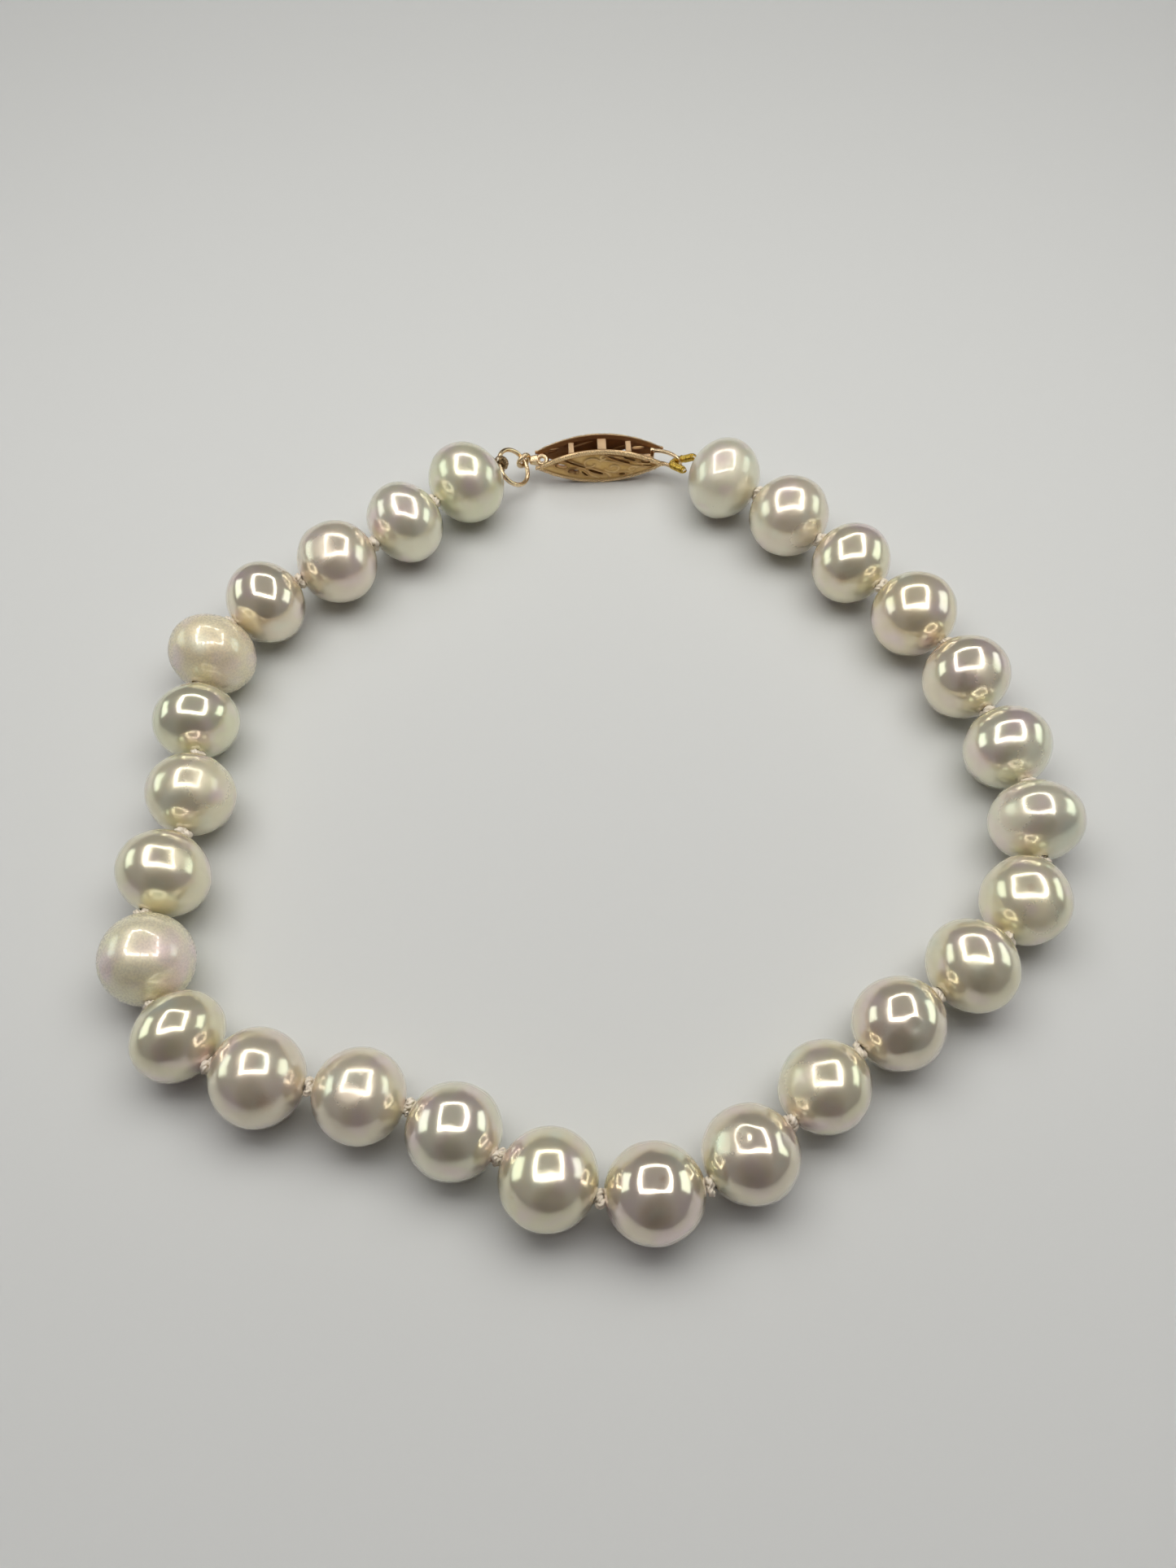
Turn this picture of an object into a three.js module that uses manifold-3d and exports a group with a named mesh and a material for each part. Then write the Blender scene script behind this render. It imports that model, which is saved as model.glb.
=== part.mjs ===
// Pearl bracelet: twenty-seven knotted pearls, closed by a pierced marquise clasp, lying in its loop.
// Millimetres, +Z up. The silk runs from the clasp's left end round to its right end, seen from the front.
import * as THREE from 'three';
import Module from 'manifold-3d';
import { mergeVertices } from 'three/addons/utils/BufferGeometryUtils.js';

// Pearls
const pearlSize = 6.3;
const boreDiameter = 0.9;
const pearlSides = 14;
const pearlBands = 7;

// Silk, with a knot in the room between two drill holes
const silkDiameter = 0.5;
const knotDiameter = 1.2;
const knotRoom = 0.5;
const knotClearance = 0.1;

// Gimp, the coiled sleeve on the silk's end loops; its reach runs from the drill hole to the wire that it
// holds, and the right one's legs splay where they meet the pearl
const gimpDiameter = 0.6;
const gimpClearance = 0.12;
const leftGimpReach = 0.38;
const rightGimpReach = 1.54;
const rightGimpHeading = -52;
const rightGimpSplay = 0.25;

// Jump ring, between the clasp's eyelet and the left gimp
const ringDiameter = 3.3;
const ringWire = 0.36;
const ringHeading = -140;
const ringSlack = 18;
const ringTilt = 32;

// Clasp body: two domed plates on posts, standing on its long edge
const claspLength = 10.3;
const claspHeight = 3.65;
const claspTurn = 2.5;
const plateThickness = 0.32;
const plateGap = 0.95;
const plateDome = 0.28;
const plateTip = 0.14;
const rimWidth = 0.38;
const rimRise = 0.1;
const scrollWire = 0.26;
const postDepth = 0.36;
const postSink = 0.1;
const noseLength = 1.3;
const noseHeight = 0.62;
const eyeletDiameter = 1.5;
const eyeletWire = 0.4;
const eyeletReach = 0.93;
const eyeletTurn = 40;

// Hook: a wire loop outside, a tongue bent round the body's catch bar inside
const hookWire = 0.32;
const hookLoopHeight = 1.7;
const hookReach = 1.25;
const hookLean = 1;
const hookSeatRise = 0.3;
const hookRoot = 0.95;
const tongueWidth = 0.5;
const tongueThickness = 0.28;
const catchBar = 0.4;
const catchClearance = 0.18;
const catchPlace = 1.1;
const hookReturn = 1.2;

// Each pearl from the clasp's left end: its size across and along the silk as shares of the pearl size, and
// how far its belly leans towards its second drill hole, as a share of half its length
const pearls = [
  { across: 1.03, along: 0.89, lean: 0 },
  { across: 1.02, along: 0.86, lean: 0.05 },
  { across: 1.01, along: 0.94, lean: -0.08 },
  { across: 1, along: 0.88, lean: 0 },
  { across: 1.03, along: 0.85, lean: 0.1 },
  { across: 0.97, along: 0.83, lean: 0 },
  { across: 0.99, along: 0.89, lean: -0.06 },
  { across: 1.02, along: 0.91, lean: 0 },
  { across: 1.01, along: 0.95, lean: 0.08 },
  { across: 1, along: 0.83, lean: 0 },
  { across: 1, along: 0.96, lean: 0.05 },
  { across: 0.97, along: 0.93, lean: -0.1 },
  { across: 0.97, along: 0.94, lean: 0 },
  { across: 1.01, along: 0.96, lean: 0.12 },
  { across: 0.99, along: 0.97, lean: 0 },
  { across: 0.99, along: 0.94, lean: -0.06 },
  { across: 0.93, along: 0.94, lean: 0.1 },
  { across: 0.97, along: 0.95, lean: -0.12 },
  { across: 1.01, along: 0.91, lean: 0.05 },
  { across: 0.97, along: 0.95, lean: 0 },
  { across: 1.05, along: 0.86, lean: -0.08 },
  { across: 1, along: 0.9, lean: 0 },
  { across: 1.02, along: 0.92, lean: 0.06 },
  { across: 1.03, along: 0.96, lean: -0.1 },
  { across: 1, along: 0.89, lean: 0 },
  { across: 1.01, along: 0.94, lean: 0.08 },
  { across: 1.01, along: 0.86, lean: 0 },
];

// The string's chosen points between the clasp's ends, from the clasp's middle, as shares of the string's
// length
const routePoints = [
  [-0.071, -0.023], [-0.087, -0.047], [-0.168, -0.111], [-0.165, -0.191], [-0.179, -0.262],
  [-0.123, -0.316], [-0.091, -0.306], [0.018, -0.351], [0.107, -0.284], [0.154, -0.253],
  [0.177, -0.197], [0.144, -0.1], [0.143, -0.101], [0.058, -0.014],
];

// Each opening pierced through a plate, as seen from the plate's face: its middle as shares of half the length
// and half the height, its length as a share of half the length, its width as a share of half the height, and
// its turn in degrees
const openings = [
  { x: -0.6, z: 0.17, length: 0.2, width: 0.23, turn: -10 },
  { x: -0.39, z: 0.3, length: 0.38, width: 0.12, turn: -24 },
  { x: -0.41, z: -0.14, length: 0.19, width: 0.36, turn: -16 },
  { x: -0.24, z: -0.31, length: 0.15, width: 0.1, turn: -52 },
  { x: -0.07, z: -0.2, length: 0.26, width: 0.17, turn: -27 },
  { x: 0.28, z: 0.48, length: 0.4, width: 0.14, turn: -25 },
  { x: 0.45, z: 0.5, length: 0.2, width: 0.07, turn: -24 },
  { x: 0.7, z: 0.27, length: 0.15, width: 0.16, turn: -12 },
  { x: 0.73, z: 0.07, length: 0.16, width: 0.08, turn: -14 },
  { x: 0.34, z: -0.42, length: 0.1, width: 0.15, turn: 0 },
];

// The two curls of the cast scroll between the openings, as shares of half the length and half the height
const scrollCurls = [
  { x: -0.14, z: 0.3, reach: 0.15, start: 20, sweep: 320 },
  { x: 0.2, z: 0.02, reach: 0.13, start: 200, sweep: 320 },
];

// The posts that carry one plate on the other, along both long edges: place and length as shares of half the
// length
const posts = [
  { x: -0.44, length: 0.09 },
  { x: 0.03, length: 0.14 },
  { x: 0.44, length: 0.09 },
];

const pearlMaterial = new THREE.MeshStandardMaterial({ color: '#e6e0d6', roughness: 0.22, metalness: 0 });
const silkMaterial = new THREE.MeshStandardMaterial({ color: '#e3d9bd', roughness: 0.8, metalness: 0 });
const gimpMaterial = new THREE.MeshStandardMaterial({ color: '#c39a1f', roughness: 0.3, metalness: 1 });
const goldMaterial = new THREE.MeshStandardMaterial({ color: '#c7986a', roughness: 0.28, metalness: 1 });

const wasm = await Module();
wasm.setup();

const up = new THREE.Vector3(0, 0, 1);

function toSolid(geometry) {
  const plain = geometry.clone();
  plain.deleteAttribute('normal');
  plain.deleteAttribute('uv');
  const merged = mergeVertices(plain, 1e-5);
  return new wasm.Manifold(new wasm.Mesh({
    numProp: 3,
    vertProperties: new Float32Array(merged.attributes.position.array),
    triVerts: new Uint32Array(merged.index.array),
  }));
}

function toGeometry(solid) {
  const mesh = solid.getMesh();
  const geometry = new THREE.BufferGeometry();
  geometry.setAttribute('position', new THREE.BufferAttribute(mesh.vertProperties, 3));
  geometry.setIndex(new THREE.BufferAttribute(mesh.triVerts, 1));
  geometry.computeVertexNormals();
  return geometry;
}

function join(geometries) {
  return toGeometry(geometries.map(toSolid).reduce((whole, piece) => whole.add(piece)));
}

// A wire's section with flat sides, its corners on the wire's circle
function roundSection(diameter, sides) {
  const corners = [];
  for (let i = 0; i < sides; i++) {
    const angle = (2 * Math.PI * i) / sides;
    corners.push(new THREE.Vector2(Math.cos(angle), Math.sin(angle)).multiplyScalar(diameter / 2));
  }
  return new THREE.Shape(corners);
}

function sweep(section, points, steps) {
  const path = new THREE.CatmullRomCurve3(points, false, 'centripetal');
  return new THREE.ExtrudeGeometry(section, { steps, extrudePath: path, bevelEnabled: false });
}

// Turns a shape made about +Y to lie along a level direction, with its local +Z up
function layAlong(geometry, middle, direction) {
  const side = new THREE.Vector3().crossVectors(direction, up).normalize();
  const top = new THREE.Vector3().crossVectors(side, direction).normalize();
  const frame = new THREE.Matrix4().makeBasis(side, direction, top).setPosition(middle);
  return geometry.applyMatrix4(frame);
}

// Places in the clasp's own frame: its middle is over the origin and it stands on the surface
const halfLength = claspLength / 2;
const halfHeight = claspHeight / 2;
const claspFrame = new THREE.Matrix4()
  .makeRotationZ(THREE.MathUtils.degToRad(claspTurn))
  .setPosition(0, 0, halfHeight);
const inClasp = (x, y, z) => new THREE.Vector3(x, y, z).applyMatrix4(claspFrame);

// The jump ring hangs in the eyelet and holds the left gimp, at the height of the first pearl's drill hole
const pearlRadius = (pearl) => (pearl.across * pearlSize) / 2;
const pearlLength = (pearl) => pearl.along * pearlSize;
const firstPearl = pearls[0];
const lastPearl = pearls[pearls.length - 1];
const eyeletHole = inClasp(-halfLength - eyeletReach, 0, 0);
const ringRadius = (ringDiameter - ringWire) / 2;
const ringChord = 2 * ringRadius * Math.cos(THREE.MathUtils.degToRad(ringSlack));
const ringRise = pearlRadius(firstPearl) - eyeletHole.z;
const ringPlanChord = Math.sqrt(ringChord ** 2 - ringRise ** 2);
const stringStart = new THREE.Vector3(ringPlanChord, 0, 0)
  .applyAxisAngle(up, THREE.MathUtils.degToRad(ringHeading))
  .add(eyeletHole)
  .setZ(pearlRadius(firstPearl));

// The hook's loop leans out of the body; the right gimp holds its far bend, a little above the middle
const hookEndX = halfLength + hookReach;
const loopRadius = (hookLoopHeight - hookWire) / 2;
const hookSeatX = hookEndX - loopRadius + Math.sqrt(loopRadius ** 2 - hookSeatRise ** 2);
const hookSeat = inClasp(hookSeatX, -hookLean, hookSeatRise);

// The string's corners are its two ends and the knots between the pearls; it ends at the last drill hole
const stretches = pearls.map((pearl, i) => {
  const before = i === 0 ? leftGimpReach : knotRoom / 2;
  const after = i === pearls.length - 1 ? 0 : knotRoom / 2;
  return { before, length: pearlLength(pearl), after, whole: before + pearlLength(pearl) + after };
});
const stringLength = stretches.reduce((sum, stretch) => sum + stretch.whole, 0);

const stringEnd = new THREE.Vector3(rightGimpReach, 0, 0)
  .applyAxisAngle(up, THREE.MathUtils.degToRad(rightGimpHeading))
  .add(hookSeat)
  .setZ(0);
const trackSteps = 900;

// Lays the stretches end to end along the route. A route that runs out before the last stretch is too tight.
function walkString(looseness) {
  const points = [
    stringStart.clone().setZ(0),
    ...routePoints.map(([x, y]) => new THREE.Vector3(x, y, 0).multiplyScalar(stringLength * looseness)),
    stringEnd,
  ];
  const track = new THREE.CatmullRomCurve3(points, false, 'catmullrom', 0.5).getPoints(trackSteps);
  const corners = [track[0]];
  let next = 1;
  let missing = 0;
  for (const { whole } of stretches.slice(0, -1)) {
    const corner = corners[corners.length - 1];
    while (next < track.length - 1 && track[next].distanceTo(corner) < whole) {
      next += 1;
    }
    missing = Math.max(missing, whole - track[next].distanceTo(corner));
    const heading = track[next].clone().sub(corner).normalize();
    corners.push(corner.clone().addScaledVector(heading, whole));
  }
  const lastStretch = stringEnd.clone().sub(corners[corners.length - 1]);
  corners.push(stringEnd);
  const lastSpare = lastStretch.length() - stretches[stretches.length - 1].whole;
  return { corners, spare: missing > 0 ? -missing : lastSpare };
}

// The route is drawn in or let out until the last pearl just reaches the right gimp
let tight = 0.8;
let loose = 1.3;
for (let i = 0; i < 50; i++) {
  const looseness = (tight + loose) / 2;
  if (walkString(looseness).spare > 0) {
    loose = looseness;
  } else {
    tight = looseness;
  }
}
const { corners } = walkString((tight + loose) / 2);

// Where each pearl lies: level, on the surface, between two corners
const places = pearls.map((pearl, i) => {
  const direction = corners[i + 1].clone().sub(corners[i]).normalize();
  const middle = corners[i].clone()
    .addScaledVector(direction, stretches[i].before + pearlLength(pearl) / 2)
    .setZ(pearlRadius(pearl));
  return { pearl, direction, middle };
});

function pearlGeometry(pearl) {
  const radius = pearlRadius(pearl);
  const half = pearlLength(pearl) / 2;
  const bore = boreDiameter / 2;
  const mouth = Math.asin(bore / radius);
  const bandAngle = (Math.PI - 2 * mouth) / pearlBands;
  const outwards = 1 / Math.cos(Math.PI / pearlSides);
  const profile = [];
  for (let band = 0; band <= pearlBands; band++) {
    const angle = Math.PI - mouth - band * bandAngle;
    const atMouth = band === 0 || band === pearlBands;
    const reach = atMouth ? bore : (radius * Math.sin(angle)) / Math.cos(bandAngle / 2);
    const belly = atMouth ? 0 : pearl.lean * half * Math.sin(angle) ** 2;
    profile.push(new THREE.Vector2(reach * outwards, (half * Math.cos(angle)) / Math.cos(mouth) + belly));
  }
  profile.push(profile[0].clone());
  return new THREE.LatheGeometry(profile, pearlSides, Math.PI / pearlSides);
}

const root = new THREE.Group();

function addMesh(name, geometry, material) {
  const mesh = new THREE.Mesh(geometry, material);
  mesh.name = name;
  root.add(mesh);
}

places.forEach(({ pearl, direction, middle }, i) => {
  const number = String(i + 1).padStart(2, '0');
  addMesh(`pearl_${number}`, layAlong(pearlGeometry(pearl), middle, direction), pearlMaterial);
});

// Silk: a straight run through each pearl, and a knot at each corner between two pearls
const silkSides = 6;
const knotSides = 8;
const knotEndShare = 0.6;
const silkPieces = places.map(({ pearl, direction, middle }, i) => {
  const half = pearlLength(pearl) / 2;
  const back = i === 0 ? half : half + knotRoom / 2;
  const forth = i === pearls.length - 1 ? half : half + knotRoom / 2;
  const run = new THREE.CylinderGeometry(silkDiameter / 2, silkDiameter / 2, back + forth, silkSides);
  return layAlong(run, middle.clone().addScaledVector(direction, (forth - back) / 2), direction);
});
const knotHalf = knotRoom / 2 - knotClearance;
const knotRadius = knotDiameter / 2;
const knotEndRadius = knotRadius * knotEndShare;
for (let i = 1; i < places.length; i++) {
  const heading = places[i - 1].direction.clone().add(places[i].direction).normalize();
  const height = (places[i - 1].middle.z + places[i].middle.z) / 2;
  const profile = [
    [0, -knotHalf], [knotEndRadius, -knotHalf], [knotRadius, -knotHalf / 2],
    [knotRadius, knotHalf / 2], [knotEndRadius, knotHalf], [0, knotHalf],
  ].map(([reach, along]) => new THREE.Vector2(reach, along));
  const knot = new THREE.LatheGeometry(profile, knotSides);
  silkPieces.push(layAlong(knot, corners[i].clone().setZ(height), heading));
}
addMesh('silk_thread', join(silkPieces), silkMaterial);

// A gimp loop: two legs from the drill hole and a bow round the wire that it holds. It lies in the plane of
// its axis and its spread, and its legs end square to the pearl, just clear of it.
function gimpGeometry({ mouth, outward, seat, spread, heldWire, splay }) {
  const axis = seat.clone().sub(mouth).normalize();
  const bow = heldWire / 2 + gimpClearance + gimpDiameter / 2;
  const slant = new THREE.Vector3().crossVectors(axis, outward).length();
  const lift = gimpClearance + (slant * gimpDiameter) / 2;
  const faceSpread = spread.clone().addScaledVector(outward, -spread.dot(outward)).normalize();
  const footing = mouth.clone().addScaledVector(outward, lift);
  const leg = (side) => footing.clone().addScaledVector(faceSpread, side * (bow + splay));
  const points = [leg(-1)];
  for (let degrees = -90; degrees <= 90; degrees += 30) {
    const angle = THREE.MathUtils.degToRad(degrees);
    points.push(seat.clone()
      .addScaledVector(axis, bow * Math.cos(angle))
      .addScaledVector(spread, bow * Math.sin(angle)));
  }
  points.push(leg(1));
  return sweep(roundSection(gimpDiameter, 6), points, 16);
}

const firstPlace = places[0];
const leftGimp = gimpGeometry({
  mouth: firstPlace.middle.clone().addScaledVector(firstPlace.direction, -pearlLength(firstPearl) / 2),
  outward: firstPlace.direction.clone().negate(),
  seat: stringStart,
  spread: up,
  heldWire: ringWire,
  splay: 0,
});
addMesh('gimp_left', leftGimp, gimpMaterial);

const lastPlace = places[places.length - 1];
const lastMouth = lastPlace.middle.clone().addScaledVector(lastPlace.direction, pearlLength(lastPearl) / 2);
const rightGimp = gimpGeometry({
  mouth: lastMouth,
  outward: lastPlace.direction,
  seat: hookSeat,
  spread: new THREE.Vector3().crossVectors(hookSeat.clone().sub(lastMouth), up).normalize(),
  heldWire: hookWire,
  splay: rightGimpSplay,
});
addMesh('gimp_right', rightGimp, gimpMaterial);

// Jump ring: through the eyelet and the left gimp, its slack side hanging forwards and down
const ringAxis = stringStart.clone().sub(eyeletHole).normalize();
const ringSide = new THREE.Vector3().crossVectors(up, ringAxis).normalize()
  .applyAxisAngle(ringAxis, THREE.MathUtils.degToRad(-ringTilt));
const ringMiddle = stringStart.clone().add(eyeletHole).multiplyScalar(0.5)
  .addScaledVector(ringSide, ringRadius * Math.sin(THREE.MathUtils.degToRad(ringSlack)));
const ring = new THREE.TorusGeometry(ringRadius, ringWire / 2, 6, 20);
const ringNormal = new THREE.Vector3().crossVectors(ringAxis, ringSide);
ring.applyMatrix4(new THREE.Matrix4().makeBasis(ringAxis, ringSide, ringNormal).setPosition(ringMiddle));
addMesh('jump_ring', ring, goldMaterial);

// Clasp plate: half its height narrows to the tips, and its dome is highest in the middle
const plateHalf = (x) => Math.max(halfHeight * (1 - (x / halfLength) ** 2), plateTip);
const dome = (x, z) => plateDome * Math.max(1 - (Math.abs(z) / halfHeight + (x / halfLength) ** 2) ** 2, 0);
const plateInside = plateGap / 2;
const plateOutside = plateInside + plateThickness;

// The rows of a plate from edge to edge: the flat top of the raised rim, its step, and the domed field
const plateColumns = 14;
const fieldShares = [-0.5, 0, 0.5];
const rimStep = 0.04;
const rimShare = rimWidth / halfHeight;
const rowShares = [-1, -1 + rimShare, -1 + rimShare + rimStep, ...fieldShares,
  1 - rimShare - rimStep, 1 - rimShare, 1];
const rimRows = new Set([0, 1, rowShares.length - 2, rowShares.length - 1]);

function plateGeometry() {
  const plate = new THREE.BoxGeometry(claspLength, 1, 1, plateColumns, 1, rowShares.length - 1);
  const position = plate.attributes.position;
  for (let i = 0; i < position.count; i++) {
    const x = position.getX(i);
    const row = Math.round((position.getZ(i) + 0.5) * (rowShares.length - 1));
    const z = rowShares[row] * plateHalf(x);
    const outer = position.getY(i) < 0;
    const rise = outer && rimRows.has(row) ? rimRise : 0;
    position.setXYZ(i, x, -((outer ? plateOutside : plateInside) + dome(x, z) + rise), z);
  }
  return plate;
}

// An opening is a long six-sided prism across the plate, pointed at both ends
function openingGeometry(opening) {
  const half = (opening.length * halfLength) / 2;
  const wide = (opening.width * halfHeight) / 2;
  const shoulder = Math.max(half - wide, half / 2);
  const corners2D = [
    [-half, 0], [-shoulder, -wide], [shoulder, -wide], [half, 0], [shoulder, wide], [-shoulder, wide],
  ];
  const outline = new THREE.Shape(corners2D.map(([x, z]) => new THREE.Vector2(x, z)));
  const depth = plateThickness + plateDome + 2 * rimRise;
  const prism = new THREE.ExtrudeGeometry(outline, { depth, bevelEnabled: false });
  prism.rotateZ(THREE.MathUtils.degToRad(opening.turn));
  prism.rotateX(Math.PI / 2);
  return prism.translate(opening.x * halfLength, rimRise - plateInside, opening.z * halfHeight);
}

// A curl of the scroll, winding inwards and half sunk in the plate's face
const curlPoints = 9;
const curlShrink = 0.65;
const curlFlatness = 0.8;

function curlGeometry(curl) {
  const points = [];
  for (let i = 0; i <= curlPoints; i++) {
    const share = i / curlPoints;
    const angle = THREE.MathUtils.degToRad(curl.start + curl.sweep * share);
    const reach = curl.reach * halfLength * (1 - curlShrink * share);
    const x = curl.x * halfLength + reach * Math.cos(angle);
    const z = curl.z * halfHeight + reach * Math.sin(angle) * curlFlatness;
    points.push(new THREE.Vector3(x, -plateOutside - dome(x, z), z));
  }
  return sweep(roundSection(scrollWire, 5), points, 12);
}

// The front plate, or the same plate turned round as the back one
function pierced(facing) {
  const flip = new THREE.Matrix4().makeRotationZ(THREE.MathUtils.degToRad(facing));
  let plate = toSolid(plateGeometry());
  for (const opening of openings) {
    plate = plate.subtract(toSolid(openingGeometry(opening)));
  }
  for (const curl of scrollCurls) {
    plate = plate.add(toSolid(curlGeometry(curl)));
  }
  return toGeometry(plate).applyMatrix4(flip);
}

// Posts, nose, catch bar and eyelet, soldered to the plates
const postSpan = plateGap + 2 * postSink;
const bodyPieces = [pierced(0), pierced(180)];
for (const post of posts) {
  for (const edge of [-1, 1]) {
    const x = post.x * halfLength;
    const box = new THREE.BoxGeometry(post.length * halfLength, postSpan, postDepth);
    bodyPieces.push(box.translate(x, 0, edge * (plateHalf(x) - rimWidth / 2 - postDepth / 2)));
  }
}
const nose = new THREE.BoxGeometry(noseLength, postSpan, noseHeight);
bodyPieces.push(nose.translate(-halfLength + noseLength / 2 - eyeletWire, 0, 0));
const catchX = -catchPlace;
const catchZ = -(catchBar / 2 + catchClearance + tongueThickness / 2);
const catchSpan = plateGap + 2 * (dome(catchX, catchZ) + postSink);
const bar = new THREE.CylinderGeometry(catchBar / 2, catchBar / 2, catchSpan, 8);
bodyPieces.push(bar.translate(catchX, 0, catchZ));
const eyelet = new THREE.TorusGeometry((eyeletDiameter - eyeletWire) / 2, eyeletWire / 2, 6, 12);
eyelet.rotateX(Math.PI / 2);
eyelet.rotateZ(THREE.MathUtils.degToRad(eyeletTurn));
bodyPieces.push(eyelet.translate(-halfLength - eyeletReach, 0, 0));
addMesh('clasp_body', join(bodyPieces).applyMatrix4(claspFrame), goldMaterial);

// Hook: the loop's two wires run into a shoulder, and the tongue goes on from it, round the catch bar and back
const shoulderX = halfLength - hookRoot;
const leanAt = (x) => -hookLean * ((x - shoulderX) / (hookEndX - shoulderX)) ** 2;
const loopPoints = [
  new THREE.Vector3(shoulderX, 0, -loopRadius),
  new THREE.Vector3(halfLength, leanAt(halfLength), -loopRadius),
];
for (let degrees = -90; degrees <= 90; degrees += 30) {
  const angle = THREE.MathUtils.degToRad(degrees);
  const x = hookEndX - loopRadius + loopRadius * Math.cos(angle);
  loopPoints.push(new THREE.Vector3(x, leanAt(x), loopRadius * Math.sin(angle)));
}
loopPoints.push(new THREE.Vector3(halfLength, leanAt(halfLength), loopRadius));
loopPoints.push(new THREE.Vector3(shoulderX, 0, loopRadius));
const loop = sweep(roundSection(hookWire, 6), loopPoints, 16);
const shoulderHeight = 2 * loopRadius + hookWire;
const shoulder = new THREE.BoxGeometry(hookWire, hookWire, shoulderHeight).translate(shoulderX, 0, 0);

const bendRadius = -catchZ;
const tonguePoints = [new THREE.Vector3(shoulderX, 0, 0), new THREE.Vector3(shoulderX / 2, 0, 0)];
for (let degrees = 90; degrees <= 270; degrees += 30) {
  const angle = THREE.MathUtils.degToRad(degrees);
  tonguePoints.push(new THREE.Vector3(catchX + bendRadius * Math.cos(angle), 0,
    catchZ + bendRadius * Math.sin(angle)));
}
tonguePoints.push(new THREE.Vector3(catchX + hookReturn, 0, catchZ - bendRadius));
const tongueSection = new THREE.Shape([[-1, -1], [1, -1], [1, 1], [-1, 1]]
  .map(([a, b]) => new THREE.Vector2((a * tongueThickness) / 2, (b * tongueWidth) / 2)));
const tongue = sweep(tongueSection, tonguePoints, 20);
addMesh('clasp_hook', join([loop, shoulder, tongue]).applyMatrix4(claspFrame), goldMaterial);

// The origin is on the surface, under the middle of the bracelet's box
const bracelet = new THREE.Group();
bracelet.add(root);
const box = new THREE.Box3().setFromObject(root);
const boxMiddle = box.getCenter(new THREE.Vector3());
root.position.set(-boxMiddle.x, -boxMiddle.y, -box.min.z);

export default bracelet;
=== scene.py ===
import math

import bmesh
import bpy
from mathutils import Matrix, Vector, noise
from mathutils.geometry import delaunay_2d_cdt
from mathutils.kdtree import KDTree


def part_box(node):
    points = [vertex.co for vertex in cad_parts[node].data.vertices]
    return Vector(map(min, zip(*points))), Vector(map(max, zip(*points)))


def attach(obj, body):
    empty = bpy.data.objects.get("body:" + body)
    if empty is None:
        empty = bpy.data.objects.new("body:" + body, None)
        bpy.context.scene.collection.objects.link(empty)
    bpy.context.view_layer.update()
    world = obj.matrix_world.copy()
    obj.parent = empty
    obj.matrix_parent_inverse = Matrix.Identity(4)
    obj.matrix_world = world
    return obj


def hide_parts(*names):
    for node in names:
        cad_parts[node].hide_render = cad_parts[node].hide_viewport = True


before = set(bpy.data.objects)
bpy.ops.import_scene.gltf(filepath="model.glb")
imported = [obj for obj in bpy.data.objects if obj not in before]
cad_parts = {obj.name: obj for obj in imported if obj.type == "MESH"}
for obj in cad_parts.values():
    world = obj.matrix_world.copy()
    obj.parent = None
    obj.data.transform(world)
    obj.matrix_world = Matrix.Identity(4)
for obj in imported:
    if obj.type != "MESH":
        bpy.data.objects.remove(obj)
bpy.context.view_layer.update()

# The bracelet lies on a smooth pale table under a square frame of light strips, seen from close above
# its near side. The light is soft, and the room above the strips is dimmer than the table.


class Signal:
    """A value on its way between nodes. Arithmetic on signals adds Math nodes to their tree."""

    def __init__(self, tree, socket):
        self.tree = tree
        self.socket = socket

    def math(self, operation, *others):
        return math_node(self.tree, operation, self, *others)

    def __add__(self, other):
        return self.math("ADD", other)

    def __sub__(self, other):
        return self.math("SUBTRACT", other)

    def __rsub__(self, other):
        return math_node(self.tree, "SUBTRACT", other, self)

    def __mul__(self, other):
        return self.math("MULTIPLY", other)

    def __truediv__(self, other):
        return self.math("DIVIDE", other)

    def __rtruediv__(self, other):
        return math_node(self.tree, "DIVIDE", other, self)

    __radd__ = __add__
    __rmul__ = __mul__

    def clipped(self):
        """The value kept between 0 and 1."""
        return self.math("MINIMUM", 1.0).math("MAXIMUM", 0.0)


def add_node(tree, kind, settings=None, inputs=None, output=0):
    """Adds one node: its settings first, then the values or signals of its sockets."""
    node = tree.nodes.new(kind)
    for name, value in (settings or {}).items():
        setattr(node, name, value)
    for key, value in (inputs or {}).items():
        if isinstance(value, Signal):
            tree.links.new(value.socket, node.inputs[key])
        else:
            node.inputs[key].default_value = value
    return Signal(tree, node.outputs[output]) if node.outputs else None


def math_node(tree, operation, *terms):
    return add_node(tree, "ShaderNodeMath", {"operation": operation}, dict(enumerate(terms)))


def vector_math(tree, operation, inputs, output=0):
    return add_node(tree, "ShaderNodeVectorMath", {"operation": operation}, inputs, output)


def new_mesh(name, points, edges, faces):
    mesh = bpy.data.meshes.new(name)
    mesh.from_pydata(points, edges, faces)
    return mesh


def new_material(name):
    material = bpy.data.materials.new(name)
    material.use_nodes = True
    material.node_tree.nodes.clear()
    return material, material.node_tree


def mixed(tree, factor, first, second):
    """A colour between two colours."""
    return add_node(tree, "ShaderNodeMix", {"data_type": "RGBA"}, {0: factor, 6: first, 7: second}, output=2)


def finished(tree, shader, **inputs):
    """Ends a material with one shader, whose sockets are named with underscores for their spaces."""
    sockets = {name.replace("_", " "): value for name, value in inputs.items()}
    surface = add_node(tree, shader, None, sockets)
    add_node(tree, "ShaderNodeOutputMaterial", None, {"Surface": surface})


def add_object(name, mesh, material):
    piece = bpy.data.objects.new(name, mesh)
    bpy.context.scene.collection.objects.link(piece)
    mesh.materials.clear()
    mesh.materials.append(material)
    return piece


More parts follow.
